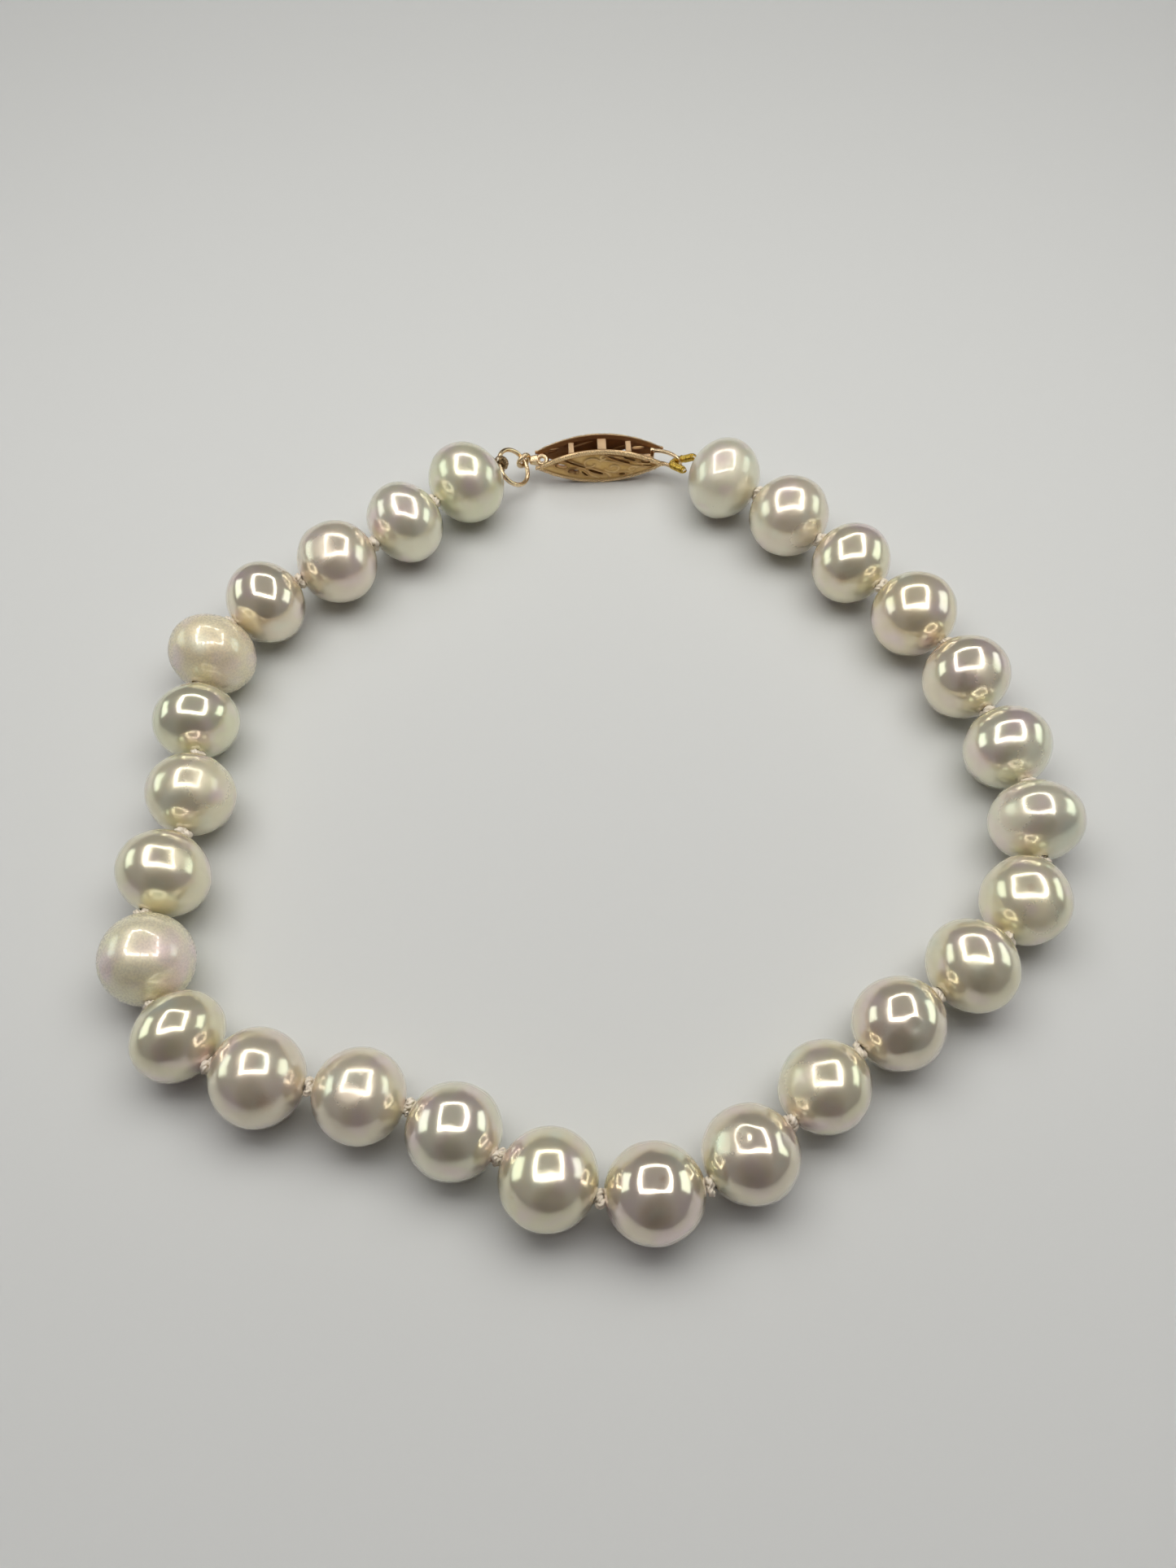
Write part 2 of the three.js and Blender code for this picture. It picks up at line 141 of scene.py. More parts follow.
camera_place = Vector((-0.00101, -0.04794, 0.08893))
camera_tilt = math.radians(29.0)
camera_data = bpy.data.cameras.new("view_camera")
camera_data.lens = 32.7
camera_data.sensor_width = 36.0
camera_data.clip_start = 0.005
view_camera = bpy.data.objects.new("view_camera", camera_data)
view_camera.location = camera_place
view_camera.rotation_euler = (camera_tilt, 0.0, 0.0)
bpy.context.scene.collection.objects.link(view_camera)
bpy.context.scene.camera = view_camera

table_material, table_nodes = new_material("table_white")
finished(table_nodes, "ShaderNodeBsdfPrincipled", Base_Color=(0.66, 0.675, 0.66, 1.0), Roughness=0.45)
table_reach = 2.0
table_corners = [(x * table_reach, y * table_reach, 0.0) for x, y in ((-1, -1), (1, -1), (1, 1), (-1, 1))]
table_mesh = new_mesh("table_top", table_corners, [], [(0, 1, 2, 3)])
table_top = add_object("table_top", table_mesh, table_material)

room = bpy.data.worlds.new("dim_room")
room.use_nodes = True
room.node_tree.nodes.clear()
room_way = add_node(room.node_tree, "ShaderNodeTexCoord", output="Generated")


def room_side(way, start=0.75, rise=5.0):
    """How far a place in the room lies towards one side, from 0 to 1."""
    share = vector_math(room.node_tree, "DOT_PRODUCT", {0: room_way, 1: way}, output="Value")
    return ((share - start) * rise).clipped()


room_near = room_side((0.0, -0.86, 0.5))
room_far = room_side((0.0, 0.96, 0.28))
room_glow, near_gloom, far_gloom = 0.15, 0.12, 0.1
room_tint = mixed(room.node_tree, room_near, (0.96, 0.91, 1.0, 1.0), (1.0, 0.66, 0.5, 1.0))
room_shade = add_node(room.node_tree, "ShaderNodeBackground", None, {
    "Color": room_tint, "Strength": room_glow - room_near * near_gloom - room_far * far_gloom,
})
add_node(room.node_tree, "ShaderNodeOutputWorld", None, {"Surface": room_shade})
bpy.context.scene.world = room
bpy.context.scene.view_settings.view_transform = "Standard"

# Each lamp: its middle, its two sizes, its turn, its radiance and its colour. The soft ones light the table,
# and the others are there to be mirrored.
frame_middle = Vector((-0.001, 0.092, 0.245))
frame_half = 0.155
strip_width = 0.034
long_strip = (2 * frame_half + strip_width, strip_width)
short_strip = (strip_width, 2 * frame_half - strip_width)
warm_white = (1.0, 0.985, 0.95)
green_white = (0.86, 1.0, 0.9)
lamps = {
    "near_strip": (frame_middle + Vector((0.0, -frame_half, 0.0)), long_strip, 0, 6.0, warm_white),
    "far_strip": (frame_middle + Vector((0.0, frame_half, 0.0)), long_strip, 0, 6.5, warm_white),
    "left_strip": (frame_middle + Vector((-frame_half, 0.0, 0.0)), short_strip, 0, 6.5, warm_white),
    "right_strip": (frame_middle + Vector((frame_half, 0.0, 0.0)), short_strip, 0, 6.5, warm_white),
    "left_panel": (Vector((-0.6, 0.16, 0.2)), (0.24, 0.42), -90, 1.5, green_white),
    "right_panel": (Vector((0.6, 0.16, 0.2)), (0.24, 0.42), 90, 1.5, green_white),
    "soft_box": (Vector((0.0, 0.03, 0.14)), (0.2, 0.1), 0, 2.6, warm_white),
    "soft_ceiling": (Vector((0.0, 0.2, 0.35)), (0.6, 0.4), 0, 0.75, warm_white),
}
for name, (middle, size, turn, radiance, colour) in lamps.items():
    light = bpy.data.lights.new(name, "AREA")
    light.shape = "RECTANGLE"
    light.size, light.size_y = size
    light.energy = radiance * math.pi * size[0] * size[1]
    light.color = colour
    lamp = bpy.data.objects.new(name, light)
    lamp.location = middle
    lamp.rotation_euler = (0.0, math.radians(turn), 0.0)
    lamp.visible_glossy = not name.startswith("soft")
    lamp.visible_diffuse = name.startswith("soft")
    bpy.context.scene.collection.objects.link(lamp)

# Freshwater pearls, grown in a shell, so none is quite round: each has its own body colour, dents and
# growth marks under a lustrous skin of nacre. Each is drilled through and strung on the silk.
bore_radius = 0.0003
pearl_names = [f"pearl_{number:02d}" for number in range(1, 28)]


def measured_pearl(node):
    """Where a pearl lies: its middle, the level line of its drill hole, its radius and half its length."""
    low, high = (Vector(corner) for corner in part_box(node))
    middle = (low + high) / 2
    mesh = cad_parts[node].data
    walls = [face for face in mesh.polygons if face.normal.dot(face.center - middle) < 0]
    rim = {
        tuple(round(value, 7) for value in mesh.vertices[index].co)
        for face in walls for index in face.vertices
    }
    offsets = [Vector(corner) - middle for corner in rim]
    xx = sum(offset.x ** 2 for offset in offsets)
    yy = sum(offset.y ** 2 for offset in offsets)
    xy = sum(offset.x * offset.y for offset in offsets)
    heading = 0.5 * math.atan2(2 * xy, xx - yy)
    along = Vector((math.cos(heading), math.sin(heading), 0.0))
    reach = [offset.dot(along) for offset in offsets]
    middle = middle + along * (max(reach) + min(reach)) / 2
    middle.z = (low.z + high.z) / 2
    return {
        "middle": middle, "along": along,
        "radius": (high.z - low.z) / 2, "half": (max(reach) - min(reach)) / 2,
    }


strung = [measured_pearl(node) for node in pearl_names]
for before, after in zip(strung, strung[1:]):
    if before["along"].dot(after["middle"] - before["middle"]) < 0:
        before["along"].negate()
if strung[-1]["along"].dot(strung[-1]["middle"] - strung[-2]["middle"]) < 0:
    strung[-1]["along"].negate()

# The body colours: a cream with a rose, green, silver or peach overtone
body_colours = {
    "cream": ((0.86, 0.80, 0.58), (0.84, 0.77, 0.58)),
    "rose": ((0.86, 0.78, 0.60), (0.84, 0.74, 0.60)),
    "green": ((0.84, 0.81, 0.59), (0.79, 0.78, 0.58)),
    "silver": ((0.86, 0.82, 0.64), (0.84, 0.80, 0.64)),
    "peach": ((0.88, 0.79, 0.57), (0.86, 0.75, 0.53)),
}
# Each pearl's body colour, and its skin from 0, bright as a mirror, to 1, satin
pearl_looks = [
    ("green", 0.4), ("silver", 0.3), ("rose", 0.3), ("rose", 0.05), ("peach", 1.0), ("green", 0.1),
    ("cream", 0.35), ("cream", 0.25), ("cream", 0.9), ("cream", 0.15), ("rose", 0.25), ("rose", 0.35),
    ("silver", 0.1), ("cream", 0.2), ("rose", 0.0), ("rose", 0.1), ("cream", 0.2), ("rose", 0.1),
    ("cream", 0.2), ("cream", 0.25), ("silver", 0.3), ("silver", 0.15), ("rose", 0.1), ("peach", 0.2),
    ("cream", 0.2), ("rose", 0.4), ("silver", 0.6),
]
# Dents and ridges in the skin: the pearl, how far right and up of its middle as it is seen, the reach and
# the depth, in radii. A negative depth is a ridge.
dents = [
    (3, -0.34, 0.42, 0.28, 0.012), (5, -0.1, 0.3, 0.3, 0.008), (7, 0.3, 0.12, 0.3, 0.008),
    (8, 0.42, 0.12, 0.25, 0.01), (10, 0.48, 0.5, 0.3, 0.02), (11, 0.35, -0.25, 0.4, 0.01),
    (12, 0.0, 0.3, 0.3, -0.012), (14, 0.1, -0.34, 0.24, 0.014), (14, -0.72, -0.26, 0.12, 0.02),
    (15, 0.12, 0.05, 0.16, -0.01), (16, -0.22, 0.26, 0.2, 0.045), (16, -0.5, 0.0, 0.35, 0.015),
    (16, 0.55, 0.5, 0.3, 0.02), (17, -0.45, -0.32, 0.3, 0.014), (17, 0.08, -0.42, 0.16, 0.03),
    (18, 0.32, 0.1, 0.26, 0.035), (18, 0.18, -0.4, 0.28, 0.04), (18, -0.3, -0.4, 0.25, 0.015),
    (19, 0.05, 0.1, 0.35, 0.008), (20, -0.45, -0.4, 0.25, 0.02), (21, -0.1, 0.35, 0.25, 0.02),
    (21, 0.3, 0.25, 0.2, -0.014), (22, 0.35, -0.1, 0.4, 0.01), (24, 0.05, 0.1, 0.3, 0.006),
    (26, 0.1, 0.0, 0.5, 0.014), (27, 0.05, -0.3, 0.3, 0.01),
]
# Places where the skin has stayed satin, and brown patches, laid out as the dents are
satin_patches = [
    (3, -0.3, 0.4, 0.4), (7, 0.55, 0.1, 0.7), (8, 0.45, 0.1, 0.35), (12, -0.2, 0.1, 0.3),
    (16, -0.5, 0.1, 0.5), (17, -0.5, -0.1, 0.6), (20, 0.45, -0.1, 0.6), (21, -0.45, -0.1, 0.5),
    (22, 0.55, 0.1, 0.6), (23, 0.4, 0.2, 0.5), (26, 0.5, -0.4, 0.4), (27, 0.2, 0.1, 0.8),
]
# Brown patches: those low under the middle of pearls 4, 11, 18 and 25 are painted reflection of the dark near
# side of the room; the others, such as the edge of pearl 24's drill hole and pearl 14's pit, are stains.
stains_and_painted_reflections = [
    (14, -0.72, -0.26, 0.07), (15, 0.1, 0.28, 0.1), (18, -0.32, -0.42, 0.3), (24, 0.72, -0.5, 0.16),
    (20, -0.05, 0.3, 0.12), (23, -0.62, 0.72, 0.14), (11, -0.15, -0.5, 0.25), (4, -0.15, -0.42, 0.2),
    (25, -0.1, -0.4, 0.2),
]
# The colours of the cloudy blushes, the growth lines, and the brown of the stains and painted reflections
rosy_blush = (0.86, 0.72, 0.68, 1.0)
greenish_blush = (0.80, 0.82, 0.66, 1.0)
growth_shade = (0.80, 0.71, 0.56, 1.0)
stain_and_reflection_brown = (0.60, 0.40, 0.28, 1.0)
# How far a pearl is out of round, in radii, in broad swells and small ones, and where the swells fade out
# towards the underside that it rests on
broad_swell = 0.022
small_swell = 0.008
rest_start, rest_fade = 0.6, 0.35


def seen_place(stone, right, up):
    """The way from a pearl's middle to the place that is seen right of it and above it."""
    towards = (camera_place - stone["middle"]).normalized()
    rightwards = Vector((0.0, 0.0, 1.0)).cross(towards).normalized()
    upwards = towards.cross(rightwards)
    return rightwards * right + upwards * up + towards * math.sqrt(max(1 - right ** 2 - up ** 2, 0.0))


def patchy(tree, stone, heading, place, breakup, number, spots):
    """A mask that is 1 in the spots of one pearl, with broken edges."""
    mask = None
    for pearl, right, up, reach in spots:
        if pearl == number:
            middle = Matrix.Rotation(-heading, 3, "Z") @ seen_place(stone, right, up)
            away = vector_math(tree, "DISTANCE", {0: place, 1: middle}, output="Value")
            spot = (1.0 - away / reach + (breakup - 0.5) * 0.8).clipped()
            mask = spot if mask is None else mask.math("MAXIMUM", spot)
    return mask


def mottling(tree, place, scale, detail, roughness=0.5, seed=None):
    """A cloudy pattern over a surface. A seed makes it another one for each pearl."""
    inputs = {"Vector": place, "Scale": scale, "Detail": detail, "Roughness": roughness}
    if seed is None:
        return add_node(tree, "ShaderNodeTexNoise", None, inputs)
    return add_node(tree, "ShaderNodeTexNoise", {"noise_dimensions": "4D"}, {**inputs, "W": seed})


def nacre(name, stone, look, number):
    """The skin of one pearl: its body colour, blushes, growth lines, stains and painted reflections under a
    clear gloss.
    """
    material, tree = new_material(name)
    tint, satin = look
    body, overtone = body_colours[tint]
    heading = math.atan2(stone["along"].y, stone["along"].x)
    object_place = add_node(tree, "ShaderNodeTexCoord", output="Object")
    place = add_node(tree, "ShaderNodeMapping", {"vector_type": "TEXTURE"}, {
        "Vector": object_place,
        "Location": stone["middle"],
        "Rotation": (0.0, 0.0, heading),
        "Scale": (stone["radius"],) * 3,
    })
    clouds = mottling(tree, place, 0.9, 2.0, seed=number * 7.3)
    grain = mottling(tree, place, 22.0, 1.0, seed=number * 3.1)
    blush = mottling(tree, place, 1.4, 1.0, seed=number * 5.9)
    drawn_out = add_node(tree, "ShaderNodeMapping", None, {"Vector": place, "Scale": (3.0, 0.7, 0.7)})
    growth = mottling(tree, drawn_out, 2.0, 1.0, roughness=0.4, seed=number * 1.7)
    colour = mixed(tree, ((clouds - 0.42) * 4.0).clipped(), (*body, 1.0), (*overtone, 1.0))
    colour = mixed(tree, ((blush - 0.52) * 5.0).clipped(), colour, rosy_blush)
    colour = mixed(tree, ((0.42 - blush) * 5.0).clipped(), colour, greenish_blush)
    colour = mixed(tree, ((growth - 0.55) * 3.0).clipped() * 0.5, colour, growth_shade)
    metallic = 0.72 - 0.4 * satin
    roughness = 0.11 + 0.24 * satin + grain * 0.08
    # Brown patches in the colour: stains, and painted reflection of the dark near side of the room.
    stain_and_reflection = patchy(tree, stone, heading, place, grain, number, stains_and_painted_reflections)
    if stain_and_reflection is not None:
        colour = mixed(tree, stain_and_reflection * 0.5, colour, stain_and_reflection_brown)
    satin_patch = patchy(tree, stone, heading, place, clouds, number, satin_patches)
    if satin_patch is not None:
        metallic = metallic - satin_patch * 0.2
        roughness = roughness + satin_patch * 0.2
    gloss = ((grain - 0.44) * 8.0).clipped() if satin > 0.8 else 0.7
    skin = growth * 0.35 + grain * (0.02 + 0.12 * satin)
    bump = add_node(tree, "ShaderNodeBump", None, {"Strength": 0.3, "Distance": 0.00005, "Height": skin})
    finished(
        tree, "ShaderNodeBsdfPrincipled", Base_Color=colour, Metallic=metallic, Roughness=roughness, IOR=1.55,
        Thin_Film_Thickness=420.0, Thin_Film_IOR=1.45, Normal=bump,
        Subsurface_Weight=0.25, Subsurface_Radius=(1.0, 0.8, 0.6), Subsurface_Scale=0.0008,
        Coat_Weight=gloss, Coat_Roughness=0.05, Coat_IOR=1.5 + 0.6 * satin,
    )
    return material


def smoothed(mesh, sharp_angle=50):
    """Shades a mesh smooth, all but its edges that are sharper than the angle."""
    mesh.shade_smooth()
    mesh.set_sharp_from_angle(angle=math.radians(sharp_angle))
    return mesh


def pearl_mesh(name, stone, number):
    """A drilled off-round pearl: a skin from one drill hole to the other, and the wall of the hole."""
    sides, bands, wall_rings = 96, 60, 5
    radius, half, along = stone["radius"], stone["half"], stone["along"]
    side = along.cross(Vector((0.0, 0.0, 1.0)))
    mouth = math.asin(bore_radius / radius)
    rings = []
    for band in range(bands + 1):
        angle = math.pi - mouth - (math.pi - 2 * mouth) * band / bands
        rings.append((half * math.cos(angle) / math.cos(mouth), radius * math.sin(angle), math.sin(angle)))
    for ring in range(1, wall_rings):
        rings.append((half * (1 - 2 * ring / wall_rings), bore_radius, 0.0))
    hollows = [(seen_place(stone, right, up), reach, depth)
               for pearl, right, up, reach, depth in dents if pearl == number]
    points = []
    for reach, width, free in rings:
        for step in range(sides):
            turn = 2 * math.pi * step / sides
            rise = Vector((0.0, 0.0, width * math.sin(turn)))
            offset = along * reach + side * (width * math.cos(turn)) + rise
            way = offset.normalized()
            underside = min(max((-way.z - rest_start) / rest_fade, 0.0), 1.0)
            swell = broad_swell * noise.noise(way * 1.2 + Vector((number, 0.0, 0.0)))
            swell += small_swell * noise.noise(way * 3.0 + Vector((0.0, number, 0.0))) - small_swell
            for middle, spread, depth in hollows:
                swell -= depth * math.exp(-((way - middle).length / spread * 1.6) ** 2)
            points.append(stone["middle"] + offset * (1 + free * (1 - underside) * swell))
    faces = []
    for ring in range(len(rings)):
        following = (ring + 1) % len(rings)
        for step in range(sides):
            beside = (step + 1) % sides
            faces.append((
                ring * sides + step, ring * sides + beside,
                following * sides + beside, following * sides + step,
            ))
    return smoothed(new_mesh(name, points, [], faces))


for number, (node, stone, look) in enumerate(zip(pearl_names, strung, pearl_looks), start=1):
    name = f"drilled_{node}"
    skin = nacre(f"nacre_{number:02d}", stone, look, number)
    piece = add_object(name, pearl_mesh(name, stone, number), skin)
    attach(piece, "root")
    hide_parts(node)

# The silk is a twisted cord of three plies through all the drill holes, tied in an overhand knot after
# each pearl, and it runs back through the gimp at either end. Its twists are in turns per metre.
silk_radius = 0.00022
silk_twist = 1100.0
knot_strand = 0.00024
knot_reach = 0.00046
knot_twist = 1400.0
knot_thickness = 0.00009
knot_steps = 48
ply_depth = 0.35


def add_edges(name, paths):
    """A mesh of plain edges: each path is (points, closed)."""
    corners, edges = [], []
    for points, closed in paths:
        first = len(corners)
        corners.extend(points)
        edges.extend((first + step, first + step + 1) for step in range(len(points) - 1))
        if closed:
            edges.append((len(corners) - 1, first))
    return new_mesh(name, corners, edges, [])


def new_geometry_tree(name, sizes, finishes=()):
    """A geometry tree with a named input for each size and finish, and the signals of its inputs."""
    tree = bpy.data.node_groups.new(name, "GeometryNodeTree")
    tree.interface.new_socket("Geometry", in_out="INPUT", socket_type="NodeSocketGeometry")
    tree.interface.new_socket("Geometry", in_out="OUTPUT", socket_type="NodeSocketGeometry")
    for size in sizes:
        tree.interface.new_socket(size, in_out="INPUT", socket_type="NodeSocketFloat")
    for finish in finishes:
        tree.interface.new_socket(finish, in_out="INPUT", socket_type="NodeSocketMaterial")
    given = tree.nodes.new("NodeGroupInput")
    return tree, {socket.name: Signal(tree, socket) for socket in given.outputs if socket.name}


def grown(name, mesh, tree, sizes, material):
    """Runs a geometry tree on a mesh of edges and keeps the result as a plain mesh."""
    seedling = bpy.data.objects.new(name + "_path", mesh)
    bpy.context.scene.collection.objects.link(seedling)
    modifier = seedling.modifiers.new("grow", "NODES")
    modifier.node_group = tree
    for socket in tree.interface.items_tree:
        if socket.item_type == "SOCKET" and socket.in_out == "INPUT" and socket.name in sizes:
            modifier[socket.identifier] = sizes[socket.name]
    graph = bpy.context.evaluated_depsgraph_get()
    plain = bpy.data.meshes.new_from_object(seedling.evaluated_get(graph), depsgraph=graph)
    seedling.modifiers.remove(modifier)
    bpy.data.objects.remove(seedling)
    plain.name = name
    return add_object(name, plain, material)


silk_material, silk_nodes = new_material("cream_silk")
silk_place = add_node(silk_nodes, "ShaderNodeTexCoord", output="Object")
silk_fibre = mottling(silk_nodes, silk_place, 9000.0, 4.0, roughness=0.7)
silk_soil = mottling(silk_nodes, silk_place, 700.0, 2.0)
silk_colour = mixed(silk_nodes, silk_soil, (0.80, 0.70, 0.55, 1.0), (0.92, 0.85, 0.74, 1.0))
silk_bump = add_node(silk_nodes, "ShaderNodeBump", None, {
    "Strength": 0.6, "Distance": 0.00004, "Height": silk_fibre,
})
finished(
    silk_nodes, "ShaderNodeBsdfPrincipled", Base_Color=silk_colour, Roughness=0.55 + silk_fibre * 0.3,
    Sheen_Weight=0.4, Sheen_Roughness=0.4, Normal=silk_bump,
)


def close_tree(tree, shape, material):
    """Ends a geometry tree with smooth, real faces of one material."""
    shape = add_node(tree, "GeometryNodeSetShadeSmooth", None, {"Geometry": shape})
    shape = add_node(tree, "GeometryNodeRealizeInstances", None, {"Geometry": shape})
    shape = add_node(tree, "GeometryNodeSetMaterial", None, {"Geometry": shape, "Material": material})
    add_node(tree, "NodeGroupOutput", None, {"Geometry": shape})


silk_tree, silk_given = new_geometry_tree("twisted_cord", ["Radius", "Turns per metre"])
silk_curve = add_node(silk_tree, "GeometryNodeMeshToCurve", None, {"Mesh": silk_given["Geometry"]})
silk_reach = add_node(silk_tree, "GeometryNodeSplineParameter", output="Length")
silk_curve = add_node(silk_tree, "GeometryNodeSetCurveTilt", None, {
    "Curve": silk_curve, "Tilt": silk_reach * silk_given["Turns per metre"] * (2 * math.pi),
})
ply_circle = add_node(silk_tree, "GeometryNodeCurvePrimitiveCircle", None, {
    "Resolution": 15, "Radius": silk_given["Radius"],
})
ply_turn = add_node(silk_tree, "GeometryNodeSplineParameter", output="Factor") * (3 * math.pi)
ply_scale = ply_turn.math("SINE").math("ABSOLUTE") * ply_depth + (1 - ply_depth)
ply_place = add_node(silk_tree, "GeometryNodeInputPosition")
ply_moved = vector_math(silk_tree, "SCALE", {0: ply_place, "Scale": ply_scale})
ply_outline = add_node(silk_tree, "GeometryNodeSetPosition", None, {
    "Geometry": ply_circle, "Position": ply_moved,
})
silk_cord = add_node(silk_tree, "GeometryNodeCurveToMesh", None, {
    "Curve": silk_curve, "Profile Curve": ply_outline, "Fill Caps": True,
})
close_tree(silk_tree, silk_cord, silk_material)


def overhand(middle, along, turn):
    """The strand's path in a tight knot, drawn up flat between two pearls."""
    side = along.cross(Vector((0.0, 0.0, 1.0))).normalized()
    top = side.cross(along)
    size = knot_reach / 3
    path = []
    for step in range(knot_steps):
        t = 2 * math.pi * step / knot_steps
        across = size * (math.sin(t + turn) + 2 * math.sin(2 * t + turn))
        up = size * (math.cos(t + turn) - 2 * math.cos(2 * t + turn))
        path.append(middle + side * across + top * up - along * (knot_thickness * math.sin(3 * t)))
    return path


silk_paths = []
for stone in strung:
    ends = stone["along"] * stone["half"]
    silk_paths.append(([stone["middle"] - ends * (1 - share / 6) for share in range(13)], False))
knot_paths = []
for number, (before, after) in enumerate(zip(strung, strung[1:])):
    leaving = before["middle"] + before["along"] * before["half"]
    entering = after["middle"] - after["along"] * after["half"]
    knot = overhand((leaving + entering) / 2, (entering - leaving).normalized(), number * 1.9)
    knot_paths.append((knot, True))
silk_runs = grown("silk_runs", add_edges("silk_runs", silk_paths), silk_tree,
                  {"Radius": silk_radius, "Turns per metre": silk_twist}, silk_material)
silk_knots = grown("silk_knots", add_edges("silk_knots", knot_paths), silk_tree,
                   {"Radius": knot_strand, "Turns per metre": knot_twist}, silk_material)
for piece in (silk_runs, silk_knots):
    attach(piece, "root")
    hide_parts("silk_thread")

# The clasp is cast and soldered in rose-tinted gold: two pierced domed plates on posts, with a cast scroll
# and milled rims. Its high places are worn bright and its hollows are dark with patina, and the inner faces
# between the plates, the posts and the hook's tongue are painted darker as shade.
clasp_length = 0.0103
clasp_height = 0.00365
half_length = clasp_length / 2
half_height = clasp_height / 2
clasp_turn = math.radians(2.5)
clasp_frame = Matrix.Translation((-0.0000805, 0.0301956, half_height)) @ Matrix.Rotation(clasp_turn, 4, "Z")
plate_gap = 0.00095
plate_thickness = 0.00032
plate_dome = 0.00028
plate_tip = 0.00014
rim_width = 0.00038
rim_rise = 0.0001
rim_slope = 0.00006
rim_groove = 0.00005
corner_rounding, corner_reach = 0.00005, 0.00008
milling_pitch = 0.0002
milling_inset = 0.00009
lip_rise, lip_reach, lip_foot = 0.00005, 0.00007, 0.00022
scroll_rise, scroll_reach, scroll_foot = 0.00007, 0.00008, 0.0002
hollow_depth, hollow_reach = 0.00026, 0.00028

gold_material, gold_nodes = new_material("rose_gold")
gold_place = add_node(gold_nodes, "ShaderNodeTexCoord", output="Object")
gold_wear = mottling(gold_nodes, gold_place, 900.0, 4.0, roughness=0.6)
gold_pits = mottling(gold_nodes, gold_place, 5000.0, 2.0, roughness=0.6)
gold_patina_and_shade, gold_face, milling, gold_rim = (
    add_node(gold_nodes, "ShaderNodeAttribute", {"attribute_name": mark}, output="Fac")
    for mark in ("patina_and_shade", "face", "milling", "rim")
)
gold_cuts = milling.math("SINE") * gold_rim
gold_colour = mixed(gold_nodes, gold_wear, (0.80, 0.58, 0.34, 1.0), (0.92, 0.76, 0.50, 1.0))
gold_dull = (gold_face * (0.6 + gold_wear * 0.6)).clipped()
gold_colour = mixed(gold_nodes, gold_dull, gold_colour, (0.62, 0.41, 0.15, 1.0))
# Darker where patina lies in the hollows, where shade is painted on the inner faces, posts and tongue between
# the plates, in random pits, and in the milled grooves of the rims.
gold_dark = gold_patina_and_shade + (gold_pits - 0.5) * 0.3 * gold_face + (0.2 - gold_cuts) * gold_rim * 0.3
gold_dark = gold_dark.clipped()
gold_colour = mixed(gold_nodes, gold_dark, gold_colour, (0.26, 0.09, 0.02, 1.0))
gold_bump = add_node(gold_nodes, "ShaderNodeBump", None, {
    "Strength": 0.5, "Distance": 0.00004, "Height": gold_wear * 0.5 + gold_pits * 0.25 + gold_cuts * 0.5,
})
finished(
    gold_nodes, "ShaderNodeBsdfPrincipled", Base_Color=gold_colour, Metallic=1.0,
    Roughness=(0.16 + gold_wear * 0.2 + gold_face * 0.14 + gold_dark * 0.25).clipped(), Normal=gold_bump,
)

# Each opening of a plate as its face is seen, as in the solids: its middle, length, width and turn
openings = [
    (-0.6, 0.17, 0.2, 0.23, -10), (-0.39, 0.3, 0.38, 0.12, -24), (-0.41, -0.14, 0.19, 0.36, -16),
    (-0.24, -0.31, 0.15, 0.1, -52), (-0.07, -0.2, 0.26, 0.17, -27), (0.28, 0.48, 0.4, 0.14, -25),
    (0.45, 0.5, 0.2, 0.07, -24), (0.7, 0.27, 0.15, 0.16, -12), (0.73, 0.07, 0.16, 0.08, -14),
    (0.34, -0.42, 0.1, 0.15, 0),
]
# The scroll: curls that wind inwards, as middle, reach, start and sweep, and ribs between the openings
scroll_curls = [
    (-0.14, 0.3, 0.15, 20, 320), (0.2, 0.02, 0.13, 200, 320),
    (0.05, 0.62, 0.06, 90, 260), (0.5, -0.12, 0.08, 30, 300),
]
ribs = [
    [(-0.75, 0.22), (-0.5, 0.44), (-0.28, 0.2), (-0.1, 0.0), (0.1, -0.32), (0.16, -0.62)],
    [(-0.52, -0.02), (-0.3, 0.06), (-0.2, -0.14), (-0.14, -0.44), (-0.02, -0.68)],
    [(0.06, 0.74), (0.3, 0.63), (0.5, 0.4), (0.62, 0.2), (0.84, 0.14)],
    [(-0.02, 0.5), (0.14, 0.42), (0.36, 0.22), (0.56, 0.06), (0.78, -0.06)],
    [(0.2, -0.3), (0.36, -0.24), (0.5, -0.4), (0.42, -0.56)],
]


def plate_half(x):
    """Half the plate's height at one place along it."""
    return max(half_height * (1 - (x / half_length) ** 2), plate_tip)


def dome(x, z):
    """How far a plate swells out at one place."""
    return plate_dome * max(1 - (abs(z) / half_height + (x / half_length) ** 2) ** 2, 0.0)


def smooth_path(points, steps):
    """Points on a smooth curve through the given points."""
    ends = [points[0] * 2 - points[1]] + points + [points[-1] * 2 - points[-2]]
    path = []
    for p0, p1, p2, p3 in zip(ends, ends[1:], ends[2:], ends[3:]):
        for step in range(steps):
            t = step / steps
            bend = 2 * p0 - 5 * p1 + 4 * p2 - p3
            twist = 3 * p1 - 3 * p2 + p3 - p0
            path.append(0.5 * (2 * p1 + (p2 - p0) * t + bend * t ** 2 + twist * t ** 3))
    return path + [points[-1]]


